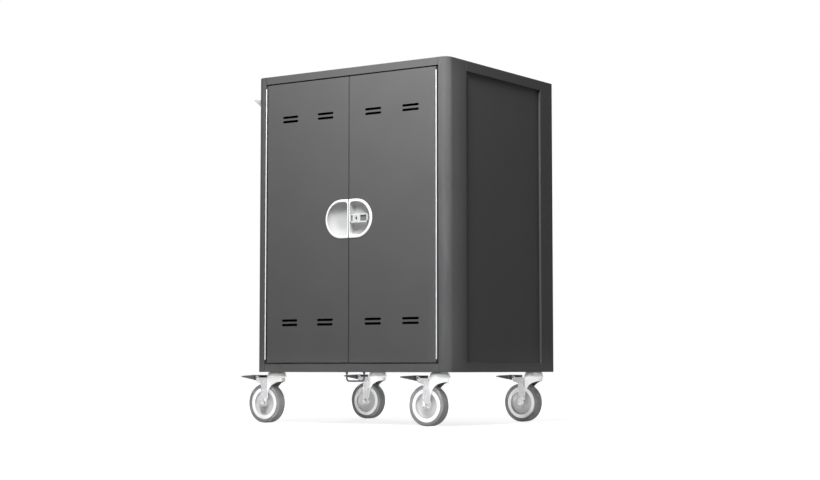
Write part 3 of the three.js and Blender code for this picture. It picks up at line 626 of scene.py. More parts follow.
@dataclass
class Row:
    """A row of equal small pieces, laid out by a node tree and taken as plain mesh."""

    shape: RowShape
    count: int
    start: Vector
    step: Vector
    size: Vector
    turn: Triple = (0.0, 0.0, 0.0)
    taper: float = 1.0
    sides: int = 20

    def tree(self) -> NodeTree:
        """Builds the node tree for the row's shape once and hands it out afterwards.

        Returns:
            The node tree, with its inputs named.
        """
        name = f"{self.shape.value}_row"
        known = bpy.data.node_groups.get(name)
        if known:
            return known
        tree = bpy.data.node_groups.new(name, "GeometryNodeTree")
        tree.interface.new_socket("Geometry", in_out="INPUT", socket_type="NodeSocketGeometry")
        for label, kind in ROW_INPUTS.items():
            tree.interface.new_socket(label, in_out="INPUT", socket_type=f"NodeSocket{kind}")
        tree.interface.new_socket("Geometry", in_out="OUTPUT", socket_type="NodeSocketGeometry")
        given = tree.nodes.new("NodeGroupInput").outputs
        line = add_node(tree, "GeometryNodeMeshLine", Count=given["Count"], Start_Location=given["Start"],
                        Offset=given["Step"])
        line.mode = "OFFSET"
        copies = add_node(tree, "GeometryNodeInstanceOnPoints", Points=line.outputs["Mesh"],
                          Instance=self._primitive(tree, given["Size"], given["Taper"], given["Sides"]),
                          Rotation=given["Turn"])
        real = add_node(tree, "GeometryNodeRealizeInstances", Geometry=copies.outputs["Instances"])
        paint = add_node(tree, "GeometryNodeSetMaterial", Geometry=real.outputs["Geometry"],
                         Material=given["Finish"])
        add_node(tree, "NodeGroupOutput", Geometry=paint.outputs["Geometry"])
        return tree

    def _primitive(self, tree: NodeTree, size: NodeSocket, taper: NodeSocket,
                   sides: NodeSocket) -> NodeSocket:
        """Adds the shape that is copied.

        Args:
            tree: The row's node tree.
            size: Its size input.
            taper: Its input for the share of the radius that is left at the far end.
            sides: Its input for the faces round the shape.

        Returns:
            The socket that carries the shape.
        """
        if self.shape is RowShape.BAR:
            return add_node(tree, "GeometryNodeMeshCube", Size=size).outputs["Mesh"]
        parts = add_node(tree, "ShaderNodeSeparateXYZ", Vector=size).outputs
        radius, length = parts["X"], parts["Z"]
        cone = add_node(tree, "GeometryNodeMeshCone", Vertices=sides, Radius_Bottom=radius,
                        Radius_Top=maths(tree, "MULTIPLY", radius, taper), Depth=length)
        shift = add_node(tree, "ShaderNodeCombineXYZ", Z=maths(tree, "DIVIDE", length, -2.0))
        centred = add_node(tree, "GeometryNodeTransform", Geometry=cone.outputs["Mesh"],
                           Translation=shift.outputs["Vector"])
        return centred.outputs["Geometry"]

    def build(self, name: str, finish: Finish) -> Object:
        """Lays the row out and takes it as plain mesh.

        Args:
            name: The new piece's name.
            finish: Its finish.

        Returns:
            The new object.
        """
        piece = add_object(name, bpy.data.meshes.new(name))
        nodes = piece.modifiers.new("row", "NODES")
        nodes.node_group = self.tree()
        values = {**vars(self), "finish": finish.material()}
        for item in nodes.node_group.interface.items_tree:
            if item.name in ROW_INPUTS:
                nodes[item.identifier] = values[item.name.lower()]
        settle(piece)
        smooth_shading(piece.data)
        return piece


def second_finish(piece: Object, finish: Finish, chosen: FaceTest) -> None:
    """Gives some faces of a piece one more finish.

    Args:
        piece: The piece.
        finish: The further finish.
        chosen: Tells whether a face takes it.
    """
    piece.data.materials.append(finish.material())
    last = len(piece.data.materials) - 1
    for face in piece.data.polygons:
        if chosen(face):
            face.material_index = last
        elif last == 1:
            face.material_index = 0


def merged(pieces: list[Object], name: str) -> Object:
    """Joins pieces of the same finish into the first of them.

    Args:
        pieces: The pieces to join.
        name: The joined piece's name.

    Returns:
        The joined object.
    """
    keep = pieces[0]
    bm = bmesh.new()
    for piece in pieces:
        bm.from_mesh(piece.data)
    mesh = bpy.data.meshes.new(name)
    bm.to_mesh(mesh)
    bm.free()
    mesh.materials.append(keep.data.materials[0])
    smooth_shading(mesh)
    for piece in pieces[1:]:
        bpy.data.objects.remove(piece)
    keep.data = mesh
    keep.name = name
    return keep


@dataclass
class CabinetShell:
    """The folded sheet cabinet: base, top, posts and recessed side panels."""

    body: str = "cabinet"
    edge_mm: float = 0.6
    corner_mm: float = 20.0
    sheet_mm: float = 1.5
    jamb_mm: float = 26.0
    rail_mm: float = 30.0
    corner_steps: int = 20

    def build(self) -> None:
        """Dresses every sheet of the shell."""
        for node in ("base_pan", "top_panel", "rear_left_post", "rear_right_post", "left_side_panel",
                     "right_side_panel"):
            piece = dress_solid(node, self.body, Slot.CABINET_PAINT, self.edge_mm)
            if node == "top_panel":
                self._darken_rail(piece)
        for name, side in (("left", -1), ("right", 1)):
            self._front_post(name, side)

    def _darken_rail(self, top: Object) -> None:
        """Paints shade on the underside of the top's front rail, where the gap above the doors lies in
        shadow.
        """
        front = behind_front(top, self.rail_mm)
        # Painted shade: faces that look down near the front take the near-black gap finish.
        second_finish(top, PAINTED_GAP_SHADE, lambda face: face.normal.z < -FACING and face.center.y < front)

    def _front_post(self, name: str, side: int) -> None:
        """Bends one front post out of a single sheet with a smooth round corner.

        Args:
            name: Which post.
            side: Minus one for the left post, one for the right.
        """
        node = f"front_{name}_post"
        low, high = flat_box(node)
        panel = flat_box(f"{name}_side_panel")
        outer, jamb, panel_x = (high.x, low.x, panel[1].x) if side > 0 else (low.x, high.x, panel[0].x)
        corner = (outer - side * self.corner_mm, low.y + self.corner_mm)
        bend = [(corner[0] + side * x, corner[1] + y)
                for x, y in arc((0.0, 0.0), self.corner_mm, 0.0, -90.0, self.corner_steps)]
        path = [(panel_x, high.y), (outer, high.y), *bend, (jamb, low.y), (jamb, low.y + self.jamb_mm)]
        section = folded(path, -side * self.sheet_mm)
        piece = fill_mesh(prism(section, low.z, high.z, Axis.Z), f"{node}_finished",
                          FINISHES[Slot.CABINET_PAINT])
        mount(bevelled(piece, self.edge_mm), self.body, Slot.CABINET_PAINT, node)
        # Painted shade: the bevel strips along the jamb take the near-black gap finish.
        worn = worn_faces(piece)
        second_finish(piece, PAINTED_GAP_SHADE, lambda face: worn[face.index]
                      and abs(face.center.x - jamb * MM) < self.sheet_mm * MM)


@dataclass
class SideFittings:
    """The push ledge on the left side and the bent-rod loop under the base."""

    body: str = "cabinet"
    ledge_edge_mm: float = 1.6
    rod_mm: float = 4.0
    bend_mm: float = 7.0
    bend_steps: int = 8
    rod_sides: int = 20
    collar_mm: float = 3.6
    foot_mm: Pair = (5.0, 1.2)

    def build(self) -> None:
        """Dresses the ledge and bends the loop."""
        dress_solid("push_handle", self.body, Slot.GRIP_PLASTIC, self.ledge_edge_mm, segments=4)
        self._loop()

    def _loop(self) -> None:
        """Sweeps the rod along its bent path, with a welded foot at each end."""
        low, high = flat_box("tether_loop")
        y = (low.y + high.y) / 2
        half = self.rod_mm / 2
        left, right, bottom = low.x + half, high.x - half, low.z + half
        path = [(left, high.z)]
        path += arc((left + self.bend_mm, bottom + self.bend_mm), self.bend_mm, 180, 270, self.bend_steps)
        path += arc((right - self.bend_mm, bottom + self.bend_mm), self.bend_mm, 270, 360, self.bend_steps)
        path += [(right, high.z)]
        bm = bmesh.new()
        add_loft(bm, [self._ring(path, i, y) for i in range(len(path))], True, True)
        weld, plate = self.foot_mm
        foot = [(half, -weld), (self.collar_mm, -plate), (self.collar_mm, 0.0)]
        for x in (left, right):
            spun(foot, mm(x, y, high.z), Axis.Z, self.rod_sides, into=bm)
        piece = fill_mesh(bm, "tether_loop_finished", FINISHES[Slot.DARK_STEEL])
        mount(piece, self.body, Slot.DARK_STEEL, "tether_loop")

    def _ring(self, path: Outline, i: int, y: float) -> list[Vector]:
        """Gives the rod's round section at one point of its path.

        Args:
            path: The path's points of x and z.
            i: Which point.
            y: The path's place along y.

        Returns:
            The section's points in metres.
        """
        ahead = Vector(path[min(i + 1, len(path) - 1)]) - Vector(path[max(i - 1, 0)])
        ahead.normalize()
        ring = []
        for step in range(self.rod_sides):
            angle = math.tau * step / self.rod_sides
            out, off = math.cos(angle) * self.rod_mm / 2, math.sin(angle) * self.rod_mm / 2
            ring.append(mm(path[i][0] - ahead.y * out, y + off, path[i][1] + ahead.x * out))
        return ring


@dataclass
class HandleCup:
    """One half of the oblong recessed handle: a rounded rim and a scooped pocket."""

    name: str
    side: int
    split_rim_mm: float
    scoop_mm: float
    split_slope: float
    shift_mm: float
    bowl: Finish
    spindle: Triple | None = None
    rim_mm: float = 7.0
    lap_mm: float = 3.0
    lip_mm: float = 1.3
    round_mm: float = 2.2
    round_steps: int = 4
    sharp_mm: float = 1.0
    split_round: float = 0.3
    corner_round: float = 0.6
    split_start: float = 0.7
    corner_start: float = 0.6
    proud_mm: float = 2.0
    floor_mm: float = 1.5
    corner_mm: float = 9.0
    arc_steps: int = 44
    corner_steps: int = 7
    scoop_steps: int = 12

    def build(self) -> None:
        """Lofts the cup and puts it on its door."""
        node = f"{self.name}_handle_cup"
        low, high = flat_box(node)
        face, back = low.y + self.proud_mm, high.y
        rings = [self._ring(inset, 0.0, self.sharp_mm, y)
                 for inset, y in ((self.lap_mm, back), (self.lap_mm, face), (0.0, face))]
        start = low.y + self.lip_mm
        for turn in self._quarter(self.round_steps):
            inset = self.round_mm * (1 - math.cos(turn))
            corner = self.sharp_mm + inset * self.corner_round
            rings.append(self._ring(inset, inset * self.split_round, corner,
                                    low.y + self.lip_mm * (1 - math.sin(turn))))
        for turn in self._quarter(self.round_steps):
            part = math.sin(turn)
            split = self.split_rim_mm * (self.split_start + (1 - self.split_start) * part)
            corner = self.corner_mm * (self.corner_start + (1 - self.corner_start) * part)
            rings.append(self._ring(self.rim_mm - self.round_mm * (1 - part), split, corner,
                                    start - self.lip_mm * math.cos(turn), self.shift_mm))
        floor = back - self.floor_mm
        for turn in self._quarter(self.scoop_steps)[1:]:
            inward = self.scoop_mm * (1 - math.cos(turn))
            depth = start + (floor - start) * math.sin(turn)
            rings.append(self._ring(self.rim_mm + inward, self.split_rim_mm + inward * self.split_slope,
                                    self.corner_mm, depth, self.shift_mm))
        bm = bmesh.new()
        if self.spindle:
            x, z, radius = self.spindle
            rings.append(self._hole(rings[-1], x, z, radius, floor))
            rings.append(self._hole(rings[-2], x, z, radius, back))
        add_loft(bm, rings, not self.spindle, not self.spindle, bool(self.spindle))
        piece = fill_mesh(bm, f"{node}_finished", FINISHES[Slot.WHITE_PLASTIC])
        # Painted shade: the bowl behind the rim takes a darker copy of the white moulding.
        second_finish(piece, self.bowl, lambda face: face.center.y > start * MM)
        mount(piece, f"{self.name}_door", Slot.WHITE_PLASTIC, node)

    @staticmethod
    def _quarter(steps: int) -> list[float]:
        """Gives the angles of a quarter turn in equal steps, both ends included."""
        return [math.pi / 2 * i / steps for i in range(steps + 1)]

    def _hole(self, ring: list[Vector], x: float, z: float, radius: float, y: float) -> list[Vector]:
        """Draws a ring of the cup's floor in to a round hole.

        Args:
            ring: The floor's ring.
            x: The hole's centre along x, in millimetres.
            z: The hole's centre along z.
            radius: The hole's radius.
            y: The hole's place along y.

        Returns:
            The hole's points in metres.
        """
        centre = mm(x, y, z)
        ways = [Vector((point.x - centre.x, 0.0, point.z - centre.z)).normalized() for point in ring]
        return [centre + way * radius * MM for way in ways]

    def _ring(self, inset: float, split_inset: float, corner: float, y: float,
              shift: float = 0.0) -> list[Vector]:
        """Gives the D outline of the cup, drawn in from its outer edge.

        Args:
            inset: How far the round side is drawn in.
            split_inset: How far the straight side is drawn in.
            corner: Radius of the two corners.
            y: The ring's place along y.
            shift: How far the round side is moved on towards the straight side.

        Returns:
            The ring's points in metres.
        """
        low, high = flat_box(f"{self.name}_handle_cup")
        full = (high.z - low.z) / 2
        radius = full - inset
        middle = (high.z + low.z) / 2
        split, far = (low.x, high.x) if self.side > 0 else (high.x, low.x)
        straight = split + self.side * split_inset
        centre = far - self.side * (full + shift)
        reach = abs(centre - straight)
        bend = min(corner, reach, radius)
        near = straight + self.side * bend
        lower = [(near - self.side * bend * math.sin(a), middle - radius + bend - bend * math.cos(a))
                 for a in reversed(self._quarter(self.corner_steps))]
        upper = [(x, 2 * middle - z) for x, z in reversed(lower)]
        bow = [(centre + self.side * radius * math.cos(a), middle + radius * math.sin(a))
               for a in (math.pi * (i / self.arc_steps - 0.5) for i in range(self.arc_steps + 1))]
        return [mm(x, y, z) for x, z in lower + bow + upper]


@dataclass
class ContinuousHinge:
    """A full-height hinge: two leaves in the door gap, each with every second knuckle, and a pin."""

    name: str
    side: int
    barrel_mm: float = 1.55
    leaf_mm: float = 1.3
    pitch_mm: float = 15.1
    slit_mm: float = 0.5
    tab_mm: float = 4.4
    clear_mm: float = 0.25
    edge_mm: float = 0.25

    def build(self) -> None:
        """Builds both leaves and the pin."""
        self._leaf("frame_leaf", "cabinet", self.side, 0)
        self._leaf("door_leaf", f"{self.name}_door", -self.side, 1)
        pin = f"{self.name}_hinge_pin"
        dress_solid(pin, "cabinet", Slot.HINGE_STEEL, self.edge_mm)

    def _leaf(self, part: str, body: str, side: int, first: int) -> None:
        """Builds one leaf: its strip, and its knuckles with a tab behind each.

        Args:
            part: The leaf's name.
            body: The body that it is fixed to.
            side: Which side of the pin its strip lies on.
            first: Zero if it takes the lowest knuckle, one if it takes the next.
        """
        node = f"{self.name}_hinge_{part}"
        low, high = flat_box(node)
        pin_low, pin_high = flat_box(f"{self.name}_hinge_pin")
        x, y = (pin_low.x + pin_high.x) / 2, (pin_low.y + pin_high.y) / 2
        outer = high.x if side > 0 else low.x
        inner, edge = outer - side * self.leaf_mm, y + self.barrel_mm + self.clear_mm
        strip = prism([(outer, edge), (outer, high.y), (inner, high.y), (inner, edge)], low.z, high.z, Axis.Z)
        finish = FINISHES[Slot.HINGE_STEEL]
        pieces = [bevelled(fill_mesh(strip, f"{node}_finished", finish), self.edge_mm)]
        slots = round((high.z - low.z) / self.pitch_mm)
        pitch = (high.z - low.z) / slots
        count = (slots - first + 1) // 2
        start = mm(x, y, low.z + pitch * (first + 0.5))
        step = mm(0.0, 0.0, 2 * pitch)
        length = pitch - self.slit_mm
        barrel = mm(self.barrel_mm, self.barrel_mm, length)
        pieces.append(Row(RowShape.ROUND, count, start, step, barrel).build(f"{node}_knuckles", finish))
        tab = mm((outer + inner) / 2 - x, self.tab_mm / 2, 0.0)
        tabs = Row(RowShape.BAR, count, start + tab, step, mm(self.leaf_mm, self.tab_mm, length))
        pieces.append(tabs.build(f"{node}_tabs", finish))
        leaf = merged(pieces, f"{node}_finished")
        axis = mm(x, y)
        # Painted shade: all of the leaf outside the barrel takes the near-black gap finish, so only the
        # barrel reads bright in the gap.
        second_finish(leaf, PAINTED_GAP_SHADE, lambda face: (face.center.xy - axis).length > self.barrel_mm * MM)
        mount(leaf, body, Slot.HINGE_STEEL, node)


@dataclass
class FrontDoors:
    """Both front doors with their cups and hinges, and the lock in the right one."""

    edge_mm: float = 1.5
    gap_depth_mm: float = 1.7
    lever_edge_mm: float = 1.1
    plug_edge_mm: float = 0.5
    collar_mm: Triple = (6.4, 8.8, 0.8)
    collar_round_mm: Pair = (0.5, 0.7)
    collar_wall: Pair = (0.6, 0.4)
    collar_sunk_mm: float = 1.0
    collar_steps: int = 40
    spindle_mm: float = 6.3
    pocket_mm: float = 1.0
    keyhole_mm: Pair = (2.5, 4.4)
    keyhole_half_mm: float = 0.3
    keyhole_edge_mm: float = 0.15
    oval_steps: int = 28

    def build(self) -> None:
        """Dresses the doors and builds what they carry."""
        for name in ("left", "right"):
            door = dress_solid(f"{name}_door", f"{name}_door", Slot.CABINET_PAINT, self.edge_mm)
            self._darken_gap(door)
        low, high = flat_box("lock_plug")
        lock = Vector(((low.x + high.x) / 2, low.y, (low.z + high.z) / 2))
        HandleCup("left", -1, split_rim_mm=2.4, scoop_mm=24.0, split_slope=0.5, shift_mm=-2.2,
                  bowl=PAINTED_BOWL_SHADE).build()
        HandleCup("right", 1, split_rim_mm=2.0, scoop_mm=5.0, split_slope=0.25, shift_mm=0.8,
                  bowl=PAINTED_CUP_FLOOR_SHADE, spindle=(lock.x, lock.z, self.spindle_mm)).build()
        ContinuousHinge("left", -1).build()
        ContinuousHinge("right", 1).build()
        self._lock(lock)

    def _darken_gap(self, door: Object) -> None:
        """Paints shade on a door's front edges, along the gaps and the slots, where they lie in shadow."""
        front = behind_front(door, self.gap_depth_mm)
        worn = worn_faces(door)
        # Painted shade: the front bevel strips take the near-black gap finish.
        second_finish(door, PAINTED_GAP_SHADE, lambda face: worn[face.index] and face.center.y < front)

    def _lock(self, lock: Vector) -> None:
        """Dresses the turn handle, its key plug and the cam tongue behind them.

        Args:
            lock: The middle of the plug's face, in millimetres.
        """
        lever = dress_solid("turn_handle", "turn_handle", Slot.HANDLE_ZINC, self.lever_edge_mm, segments=3)
        front, _ = flat_box("turn_handle")
        pocket = (front.y + self.pocket_mm) * MM
        # Painted shade: the recessed pocket floors of the lever take a dark grey.
        second_finish(lever, PAINTED_POCKET_SHADE, lambda face: face.center.y > pocket and face.normal.y < -FACING)
        dress_solid("lock_plug", "lock_plug", Slot.HANDLE_ZINC, self.plug_edge_mm)
        wide, tall = self.keyhole_mm
        # Painted shade: a thin black oval on the plug's face stands in for the dark keyhole.
        oval = [(lock.x + wide * math.cos(a), lock.z + tall * math.sin(a))
                for a in (math.tau * i / self.oval_steps for i in range(self.oval_steps))]
        plate = prism(oval, lock.y - self.keyhole_half_mm, lock.y + self.keyhole_half_mm, Axis.Y)
        hole = fill_mesh(plate, "painted_keyhole_shade", FINISHES[Slot.BLACK_PLASTIC])
        mount(bevelled(hole, self.keyhole_edge_mm), "lock_plug", Slot.BLACK_PLASTIC)
        dress_solid("lock_cam", "turn_handle", Slot.ZINC_PLATE, self.plug_edge_mm)
        inner, outer, rise = self.collar_mm
        inner_round, outer_round = self.collar_round_mm
        inner_wall, outer_wall = self.collar_wall
        profile = [(inner, self.collar_sunk_mm), (inner, -rise * inner_wall), (inner + inner_round, -rise),
                   (outer - outer_round, -rise), (outer, -rise * outer_wall), (outer, self.collar_sunk_mm)]
        ring = spun(profile, lock * MM, Axis.Y, self.collar_steps, True)
        mount(fill_mesh(ring, "key_collar", FINISHES[Slot.HANDLE_ZINC]), "turn_handle", Slot.HANDLE_ZINC)


@dataclass
class Caster:
    """One braked swivel caster: bearing head, fork, axle bolt, wheel, tyre and pedal."""

    corner: str
    fork_edge_mm: float = 0.9
    pedal_edge_mm: float = 1.4
    steps: int = 64
    neck_mm: float = 6.0
    rivet_mm: float = 10.0
    rivet_height_mm: float = 3.5
    rivet_round_mm: float = 1.4
    cap_mm: float = 25.5
    cap_height_mm: float = 14.0
    lip_mm: float = 4.6
    lip_round_mm: float = 1.0
    step_mm: float = 1.0
    step_round_mm: float = 0.5
    dome_mm: float = 23.8
    dome_round_mm: float = 6.6
    stem_round_mm: float = 1.0
    bolt_mm: float = 4.0
    bolt_steps: int = 32
    head_mm: float = 3.0
    washer_mm: Pair = (6.5, 1.1)
    washer_chamfer_mm: Pair = (0.3, 0.2)
    nut_mm: float = 6.0
    nut_sides: int = 6
    nut_edge_mm: float = 0.3
    nut_dome_mm: tuple[Pair, ...] = ((0.0, 0.9), (0.6, 0.3), (1.8, 0.0))
    bore_mm: float = 4.3
    hub_mm: float = 11.0
    hub_half_mm: float = 14.8
    hub_round_mm: float = 1.4
    web_half_mm: float = 4.2
    web_round_mm: Pair = (3.0, 3.2)
    ring_mm: Pair = (31.5, 41.0)
    ring_half_mm: float = 12.3
    ring_round_mm: Pair = (1.4, 0.6)
    bead_gap_mm: float = 0.3
    bead_round_mm: float = 1.6
    tyre_half_mm: float = 13.45
    shoulder_mm: float = 3.2
    jaw_mm: float = 66.0
    web_mm: float = 31.8
    crease_mm: float = 18.0
    ribs: int = 9
    rib_mm: Pair = (1.6, 1.0)
    rib_edge_mm: float = 0.3
    rib_sunk_mm: float = 0.1
    rib_margin_mm: float = 10.0
    tread_margin_mm: Pair = (4.0, 6.0)
    tread_crest_mm: float = 3.0
    tread_fall: float = 2.5 / 42.0

    def build(self) -> None:
        """Builds every piece of the caster on its own body."""
        self._head()
        self._fork()
        self._wheel()
        self._pedal()

    def _centre(self, node: str) -> Vector:
        """Gives the middle of a solid of this caster, in millimetres."""
        low, high = flat_box(f"{self.corner}_{node}")
        return (low + high) / 2

    def _head(self) -> None:
        """Spins the bearing head: rivet, race gap, domed cap and stem."""
        node = f"{self.corner}_caster_head"
        low, high = flat_box(node)
        foot = self._centre("caster_head")
        foot.z = 0.0
        seat = flat_box("base_pan")[0].z
        cap = seat - self.cap_height_mm
        rivet = low.z + self.rivet_height_mm
        lip = cap + self.lip_mm
        profile = rounded([
            (self.neck_mm, low.z, 0.0), (self.rivet_mm, low.z, self.rivet_round_mm),
            (self.rivet_mm, rivet, 0.0), (self.neck_mm, rivet, 0.0), (self.neck_mm, cap, 0.0),
            (self.cap_mm, cap, self.lip_round_mm), (self.cap_mm, lip, self.lip_round_mm),
            (self.dome_mm, lip + self.step_mm, self.step_round_mm),
            (self.dome_mm, seat, self.dome_round_mm), (self.neck_mm, seat, 0.0),
            (self.neck_mm, high.z, self.stem_round_mm), (self.neck_mm / 2, high.z, 0.0),
        ])
        piece = fill_mesh(spun(profile, foot * MM, Axis.Z, self.steps), f"{node}_finished", BRIGHT_CAP_AND_NOSE_HIGHLIGHT)
        mount(piece, "cabinet", Slot.ZINC_PLATE, node)

    def _fork(self) -> None:
        """Dresses the pressed fork, with a painted highlight on its crown's nose and painted shade in the
        hollow under it.
        """
        body = f"{self.corner}_fork"
        fork = dress_solid(f"{self.corner}_caster_fork", body, Slot.ZINC_PLATE, self.fork_edge_mm, segments=3)
        swivel = self._centre("caster_head") * MM
        crease = swivel.x - self.crease_mm * MM

        def hollow(face: MeshPolygon) -> bool:
            """Tells whether a face of the crown looks down or in at the wheel."""
            inward = math.copysign(1.0, swivel.y - face.center.y) * face.normal.y
            return face.center.x > crease and (face.normal.z < -FACING or inward > FACING)

        # Painted highlight: the crown's round nose takes the bright cap finish in place of its metallic
        # reflection.
        second_finish(fork, BRIGHT_CAP_AND_NOSE_HIGHLIGHT, lambda face: face.center.x > crease)
        # Painted shade: faces of the crown that look down or in at the wheel take a near-black grey.
        second_finish(fork, PAINTED_HOLLOW_SHADE, hollow)
        self._axle(body)

    def _axle(self, body: str) -> None:
        """Makes the axle bolt, with a washer and a domed hexagon at each end.

        Args:
            body: The fork's body.
        """
        node = f"{self.corner}_axle"
        low, high = flat_box(node)
        middle = self._centre("axle") * MM
        half = (high.y - low.y) / 2
        seat = half - self.head_mm
        finish = FINISHES[Slot.ZINC_PLATE]
        shank = spun([(self.bolt_mm, -seat), (self.bolt_mm, seat)], middle, Axis.Y, self.bolt_steps)
        pieces = [fill_mesh(shank, f"{node}_finished", finish)]
        radius, thick = self.washer_mm
        across, down = self.washer_chamfer_mm
        washer = [(radius, seat), (radius, seat + thick - down), (radius - across, seat + thick)]
        dome = [(self.nut_mm, seat + thick)]
        dome += [(self.nut_mm - inset, half - below) for inset, below in self.nut_dome_mm]
        for way in (-1, 1):
            flat, head = ([(r, way * y) for r, y in profile] for profile in (washer, dome))
            pieces.append(fill_mesh(spun(flat, middle, Axis.Y, self.bolt_steps), "washer", finish))
            nut = fill_mesh(spun(head, middle, Axis.Y, self.nut_sides), "head", finish)
            pieces.append(bevelled(nut, self.nut_edge_mm))
        mount(merged(pieces, f"{node}_finished"), body, Slot.ZINC_PLATE, node)

    def _wheel(self) -> None:
        """Spins the wheel centre with its raised rim and hub, and the tyre with round shoulders."""
        body = f"{self.corner}_wheel"
        middle = self._centre("tyre")
        ring, bead = self.ring_mm
        low, high = flat_box(f"{self.corner}_tyre")
        inner, tread = bead + self.bead_gap_mm, (high.z - low.z) / 2
        inner_web, outer_web = self.web_round_mm
        inner_ring, outer_ring = self.ring_round_mm
        half = rounded([
            (self.bore_mm, self.hub_half_mm, 0.0), (self.hub_mm, self.hub_half_mm, self.hub_round_mm),
            (self.hub_mm, self.web_half_mm, inner_web), (ring, self.web_half_mm, outer_web),
            (ring, self.ring_half_mm, inner_ring), (bead, self.ring_half_mm, outer_ring),
            (bead, self.ring_half_mm / 2, 0.0),
        ])
        rubber = rounded([
            (inner, self.tyre_half_mm / 2, 0.0), (inner, self.tyre_half_mm, self.bead_round_mm),
            (tread, self.tyre_half_mm, self.shoulder_mm), (tread, self.tyre_half_mm / 2, 0.0),
        ])
        for part, section, slot in (("wheel", half, Slot.WHEEL_PLASTIC), ("tyre", rubber, Slot.TYRE_RUBBER)):
            node = f"{self.corner}_{part}"
            whole = section + [(r, -y) for r, y in reversed(section)]
            solid = spun(whole, middle * MM, Axis.Y, self.steps, True)
            piece = fill_mesh(solid, f"{node}_finished", FINISHES[slot])
            if slot is Slot.WHEEL_PLASTIC:
                hub = mm(middle.x, middle.z)
                second_finish(piece, WEB_GREY, lambda face: (face.center.xz - hub).length < self.web_mm * MM)
            mount(piece, body, slot, node)

    def _pedal(self) -> None:
        """Dresses the pedal, black at its jaw and dark grey on its ribbed tread."""
        node = f"{self.corner}_brake_pedal"
        body = f"{self.corner}_brake"
        black = FINISHES[Slot.BLACK_PLASTIC]
        piece = solid_copy(node, f"{node}_finished", black, self.pedal_edge_mm, segments=3)
        low, high = flat_box(node)
        axis = self._centre("caster_head")
        split = (axis.x - self.jaw_mm) * MM
        bm = bmesh.new()
        bm.from_mesh(piece.data)
        whole = bm.verts[:] + bm.edges[:] + bm.faces[:]
        bmesh.ops.bisect_plane(bm, geom=whole, plane_co=(split, 0, 0), plane_no=(1, 0, 0),
                               dist=MERGE_DISTANCE)
        for face in bm.faces:
            face.material_index = int(face.calc_center_median().x < split)
        bm.to_mesh(piece.data)
        bm.free()
        piece.data.materials.append(PEDAL_GREY.material())
        smooth_shading(piece.data)
        mount(piece, body, Slot.BLACK_PLASTIC, node)
        self._tread(body, low, high, axis)

    def _tread(self, body: str, low: Vector, high: Vector, axis: Vector) -> None:
        """Lays a row of ribs across the pedal's tread.

        Args:
            body: The pedal's body.
            low: The pedal's lowest corner, in millimetres.
            high: Its highest corner.
            axis: A point on the swivel axis.
        """
        near, far = self.tread_margin_mm
        first, last = axis.x - self.jaw_mm - near, low.x + far
        run = (last - first) / (self.ribs - 1)
        step = Vector((run, 0.0, run * self.tread_fall))
        crest = high.z - self.rib_sunk_mm - self.tread_crest_mm * self.tread_fall
        width, height = self.rib_mm
        size = Vector((width, high.y - low.y - self.rib_margin_mm, height))
        ribs = Row(RowShape.BAR, self.ribs, mm(first, axis.y, crest), step * MM, size * MM)
        piece = bevelled(ribs.build(f"{self.corner}_pedal_ribs", PEDAL_GREY), self.rib_edge_mm)
        mount(piece, body, Slot.BLACK_PLASTIC)


@dataclass
class ChargingBay:
    """What the doors hide: shelf, divider racks, cable partition, power strip and controller."""

    body: str = "cabinet"
    sheet_edge_mm: float = 0.5
    rack_edge_mm: float = 0.6
    box_edge_mm: float = 1.5
    socket_mm: Pair = (44.0, 52.0)
    sockets: int = 12
    sunk_mm: float = 2.5
    insert_mm: Pair = (12.4, 3.0)
    insert_taper: float = 0.96
    insert_sides: int = 40
    blade_mm: Triple = (1.8, 1.2, 7.0)
    blade_place_mm: Triple = (6.0, 1.2, 2.5)
    earth_mm: float = 2.3
    earth_place_mm: Triple = (0.0, 1.2, -6.5)
    earth_sides: int = 16

    def build(self) -> None:
        """Dresses the inside."""
        for node in ("middle_shelf", "cable_partition"):
            dress_solid(node, self.body, Slot.CABINET_PAINT, self.sheet_edge_mm)
        for node in ("upper_divider_rack", "lower_divider_rack"):
            dress_solid(node, self.body, Slot.RACK_PLASTIC, self.rack_edge_mm)
        for node in ("power_strip", "charge_controller"):
            dress_solid(node, self.body, Slot.BLACK_PLASTIC, self.box_edge_mm)
        self._sockets()

    def _sockets(self) -> None:
        """Puts a grey insert with two blade slots and a round earth hole into each socket of the strip."""
        low, high = flat_box("power_strip")
        middle = (low + high) / 2
        pitch, rise = self.socket_mm
        first = middle.x - pitch * (self.sockets - 1) / 2
        pieces, holes = [], []
        step = mm(pitch, 0.0, 0.0)
        radius, thick = self.insert_mm
        disc = mm(radius, radius, thick)
        earth = mm(self.earth_mm, self.earth_mm, self.blade_mm[1])
        across, out, up = self.blade_place_mm
        black = FINISHES[Slot.BLACK_PLASTIC]
        for row in (-0.5, 0.5):
            start = Vector((first, high.y - self.sunk_mm, middle.z + row * rise))
            insert = Row(RowShape.ROUND, self.sockets, start * MM, step, disc, TURNED_IN, self.insert_taper,
                         self.insert_sides)
            pieces.append(insert.build("socket_inserts", SOCKET_GREY))
            for side in (-1, 1):
                place = (start + Vector((side * across, out, up))) * MM
                slot = Row(RowShape.BAR, self.sockets, place, step, Vector(self.blade_mm) * MM)
                holes.append(slot.build("socket_slots", black))
            place = (start + Vector(self.earth_place_mm)) * MM
            hole = Row(RowShape.ROUND, self.sockets, place, step, earth, TURNED_IN, 1.0, self.earth_sides)
            holes.append(hole.build("socket_earths", black))
        mount(merged(pieces, "socket_inserts"), self.body, Slot.BLACK_PLASTIC)
        mount(merged(holes, "socket_slots"), self.body, Slot.BLACK_PLASTIC)


